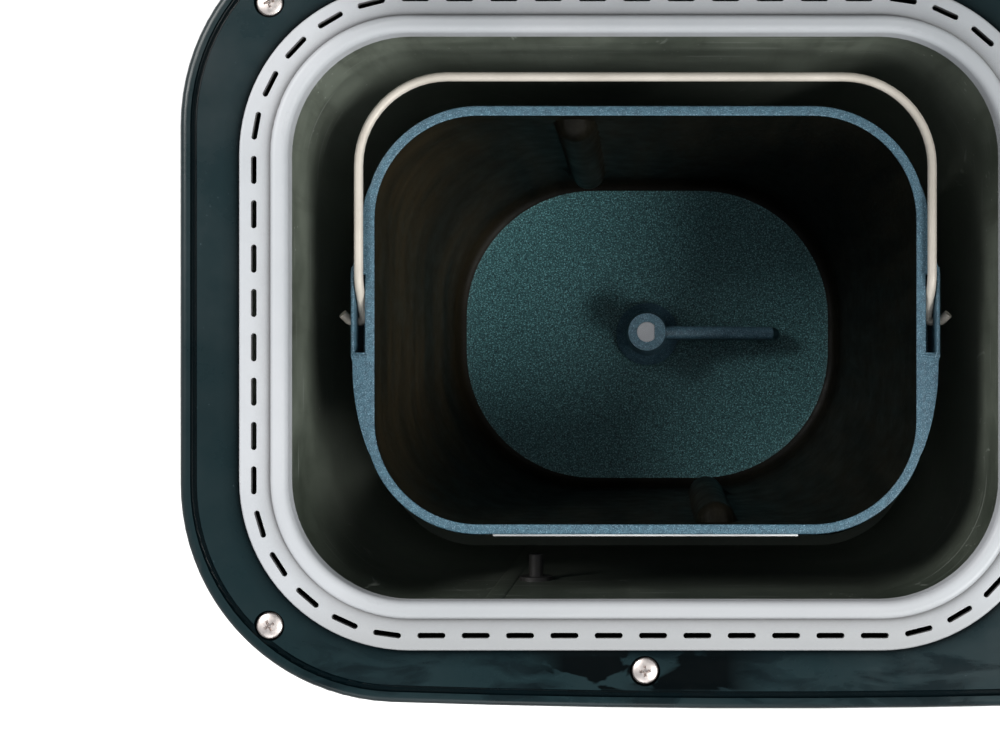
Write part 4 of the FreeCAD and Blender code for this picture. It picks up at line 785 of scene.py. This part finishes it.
def digit(x, y):
    """The seven unlit segments of one figure, as outlines."""
    long, half, tip, rise = 6.0, 3.1, 0.55, 6.9
    shapes = []
    for level in (-1, 0, 1):
        cy = y + level * rise
        a, b = x - half + 0.3, x + half - 0.3
        across = [(a, cy), (a + tip, cy - tip), (b - tip, cy - tip), (b, cy)]
        shapes.append(across + [(b - tip, cy + tip), (a + tip, cy + tip)])
    for side in (-1, 1):
        for level in (-0.5, 0.5):
            cx, cy = x + side * half, y + level * rise
            a, b = cy - long / 2, cy + long / 2
            upright = [(cx, a), (cx + tip, a + tip), (cx + tip, b - tip), (cx, b)]
            shapes.append(upright + [(cx - tip, b - tip), (cx - tip, a + tip)])
    return shapes


def make_display_print():
    """The display's unlit figures and signs, and the pale line printed round its window."""
    x, y = DISPLAY
    bm = bmesh.new()
    shapes = [shape for step in (-14, -4.6, 6.2) for shape in digit(x + step, y - 2.5)]
    shapes += [bar(x + 0.8, y - 2.5 + step, 1.1, 1.1) for step in (-2.6, 2.6)]
    shapes += [bar(x + step, y + 11.4, 4.4, 1.2) for step in (-14, -7, 0, 7)]
    shapes.append(arc(x + 15.2, y + 1.5, 2.1, 0, 360))
    for shape in shapes:
        printed(bm, shape, DISPLAY_TOP)
    new_piece("display_segments", bm, "base", ["segment"], 20)
    bm = bmesh.new()
    half_x, half_y, wide, turn = 23.4, 18.4, 0.45, 2.6
    flat_x, flat_y = half_x - turn, half_y - turn
    for side in (-1, 1):
        printed(bm, bar(x, y + side * half_y, 2 * flat_x, wide), FASCIA_TOP)
        printed(bm, bar(x + side * half_x, y, wide, 2 * flat_y), FASCIA_TOP)
    for sx, sy, start in ((1, 1, 0), (-1, 1, 90), (-1, -1, 180), (1, -1, 270)):
        printed(bm, band(x + sx * flat_x, y + sy * flat_y, turn, wide, start, start + 90), FASCIA_TOP)
    new_piece("display_frame_line", bm, "base", ["print_pale"], 20)


def make_slot_lips():
    """The thin rolled lip round the front end of each lug's slot, where the casting was trimmed."""
    for side, name in ((-1, "slot_lip_left"), (1, "slot_lip_right")):
        top = PAN_TOP - 0.2
        places = [(97.5, 17.5, top - 0.5), (97.5, 12, top), (97.5, -12.1, top)]
        places += [(93.4, -12.1, top), (91.9, -11.2, top - 0.5)]
        line = bent([(side * x, y, z) for x, y, z in places], [8, 1.7, 1.5])
        bm = bmesh.new()
        sweep(bm, line, 0.62, 12)
        new_piece(name, bm, "pan", ["pan_coating"])


def make_bright_edge():
    """A thin near-white line along the lower edge of the rim's front, ending at a small dark notch."""
    bm = bmesh.new()
    radius = 0.42
    line = [Vector((x, -(TOP_Y + radius), PAN_TOP - 2.4)) for x in range(-51, 57, 6)]
    sweep(bm, line, radius, 10)
    new_piece("rim_bright_edge", bm, "pan", ["bare_metal"])
    bm = bmesh.new()
    outline = [(-53.4, -71.5), (-51.6, -71.9), (-51.2, -70.9), (-54.0, -70.6)]
    prism(bm, outline, PAN_TOP - 3.4, PAN_TOP - 0.4)
    new_piece("rim_notch", bm, "pan", ["pan_wall"])


def lathe(bm, profile, sides=40):
    """Turns a profile of (radius, height) round the Z axis; a radius of 0 closes it."""
    turns = [2 * math.pi * k / sides for k in range(sides)]
    rows = []
    for radius, height in profile:
        around = turns if radius else [0]
        points = [(radius * math.cos(a) * MM, radius * math.sin(a) * MM, height * MM) for a in around]
        rows.append([bm.verts.new(point) for point in points])
    for low, high in zip(rows, rows[1:]):
        for k in range(sides):
            j = (k + 1) % sides
            corners = [low[k % len(low)], low[j % len(low)], high[j % len(high)], high[k % len(high)]]
            unique = list(dict.fromkeys(corners))
            if len(unique) > 2:
                bm.faces.new(unique)


def screw_mesh(radius, dome, depth):
    """A domed screw head with a cross recess, its rim at height 0."""
    bm = bmesh.new()
    profile = [(0, -1.2), (radius * 0.5, -1.2), (radius * 0.5, 0.0), (radius, 0.0), (radius, dome * 0.35)]
    for angle in range(15, 91, 15):
        turn = math.radians(angle)
        profile.append((radius * math.cos(turn) if angle < 90 else 0, dome * (0.35 + 0.65 * math.sin(turn))))
    lathe(bm, profile)
    head = loose("screw_head", bm)
    for turn in (0, math.pi / 2):
        cutter = bmesh.new()
        long, wide = radius * 0.5, radius * 0.11
        top, low = dome + 0.3, dome - depth
        corners = [(-long, -wide, top), (long, -wide, top), (long, wide, top), (-long, wide, top)]
        under = [(-long * 0.45, -wide * 0.8, low), (long * 0.45, -wide * 0.8, low)]
        under += [(long * 0.45, wide * 0.8, low), (-long * 0.45, wide * 0.8, low)]
        verts = [cutter.verts.new(Matrix.Rotation(turn, 3, "Z") @ (Vector(c) * MM)) for c in corners + under]
        for face in ((0, 1, 2, 3), (7, 6, 5, 4), (0, 4, 5, 1), (1, 5, 6, 2), (2, 6, 7, 3), (3, 7, 4, 0)):
            cutter.faces.new([verts[i] for i in face])
        carve(head, loose("cross", cutter))
    mesh = head.data
    shade(mesh, 35)
    mesh.materials.clear()
    mesh.materials.append(LOOKS["screw_steel"].mat)
    bpy.data.objects.remove(head)
    return mesh


def make_screws():
    """The deck's screws, each turned to its own angle."""
    mesh = screw_mesh(4.3, 2.2, 1.3)
    rim_height = 236.1
    places = [(-120.5, -98.9, 28), (120.5, -98.9, 61), (-120.5, 101, 12)]
    places += [(120.5, 101, 40), (0, -113.4, 3), (0, 118, 77)]
    for i, (x, y, spin) in enumerate(places):
        screw = bpy.data.objects.new(f"deck_screw_{i + 1}", mesh)
        bpy.context.scene.collection.objects.link(screw)
        at = Matrix.Translation((x * MM, y * MM, rim_height * MM))
        screw.matrix_world = at @ Matrix.Rotation(math.radians(spin), 4, "Z")
        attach(screw, "base")
    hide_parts("deck_screws")


def make_seam():
    """The chamber's folded lock seam, pressed flat in its front wall."""
    bm = bmesh.new()
    y = -92.48  # just into the chamber's front wall
    outline = [(-53.5, y), (-46.5, y), (-46.9, y + 0.3), (-47.7, y + 0.5), (-52.3, y + 0.5), (-53.1, y + 0.3)]
    prism(bm, outline, 63, 228)
    seam = new_piece("chamber_seam", bm, "base", ["oven_steel"], 60)
    bevel(seam, 0.12, 2)


pan = make_pan()
make_lugs()
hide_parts("bread_pan")
make_key_marks()
make_display_print()
make_slot_lips()
make_bright_edge()
make_bail()
make_screws()
make_seam()


# ------------------------------------------------------------------ floor, light, camera


def make_floor():
    """A plain pale round sheet under everything."""
    mesh = bpy.data.meshes.new("floor")
    bm = bmesh.new()
    bmesh.ops.create_circle(bm, cap_ends=True, segments=128, radius=2.2)
    bm.to_mesh(mesh)
    bm.free()
    floor = bpy.data.objects.new("floor", mesh)
    bpy.context.scene.collection.objects.link(floor)
    look = Look("floor_look", (0.86, 0.86, 0.86), 0.9)
    look.color(look.mix(look.span(look.noise(3, 2), 0.3, 0.7), (0.85, 0.85, 0.85), (0.88, 0.88, 0.88)))
    mesh.materials.append(look.mat)


def area_light(name, place, target, size, power, tint=(1, 1, 1)):
    data = bpy.data.lights.new(name, "AREA")
    data.shape = "DISK"
    data.size = size
    data.energy = power
    data.color = tint
    lamp = bpy.data.objects.new(name, data)
    lamp.location = place
    aim = Vector(target) - Vector(place)
    lamp.rotation_euler = aim.to_track_quat("-Z", "Y").to_euler()
    bpy.context.scene.collection.objects.link(lamp)


def make_light():
    world = bpy.data.worlds.new("studio")
    world.use_nodes = True
    tree = world.node_tree
    background = tree.nodes["Background"]
    background.inputs["Strength"].default_value = 1.0
    ramp = tree.nodes.new("ShaderNodeValToRGB")
    ramp.color_ramp.elements[0].position = 0.25
    ramp.color_ramp.elements[0].color = (0.86, 0.88, 0.90, 1)
    ramp.color_ramp.elements[1].position = 0.9
    ramp.color_ramp.elements[1].color = (0.30, 0.315, 0.33, 1)
    split = tree.nodes.new("ShaderNodeSeparateXYZ")
    tree.links.new(tree.nodes.new("ShaderNodeTexCoord").outputs["Generated"], split.inputs[0])
    tree.links.new(split.outputs["Z"], ramp.inputs["Fac"])
    tree.links.new(ramp.outputs["Color"], background.inputs["Color"])
    bpy.context.scene.world = world
    area_light("key", (-1.5, 0.9, 1.6), (0, 0, 0.2), 1.0, 46, (1.0, 0.985, 0.965))
    area_light("side", (1.25, -0.75, 1.55), (-0.05, 0.03, 0.15), 0.9, 40, (0.99, 1.0, 0.98))
    area_light("front", (-0.4, -1.7, 1.0), (0, 0, 0.15), 1.1, 8)


def make_camera():
    data = bpy.data.cameras.new("camera")
    data.sensor_width = 36
    data.lens = 51.84
    data.shift_x = -0.1544
    data.shift_y = 0.0133
    data.clip_start = 0.01
    camera = bpy.data.objects.new("camera", data)
    camera.location = (0.003, -0.02275, 0.6995)
    bpy.context.scene.collection.objects.link(camera)
    bpy.context.scene.camera = camera


make_floor()
make_light()
make_camera()
bpy.context.scene.view_settings.view_transform = "Standard"
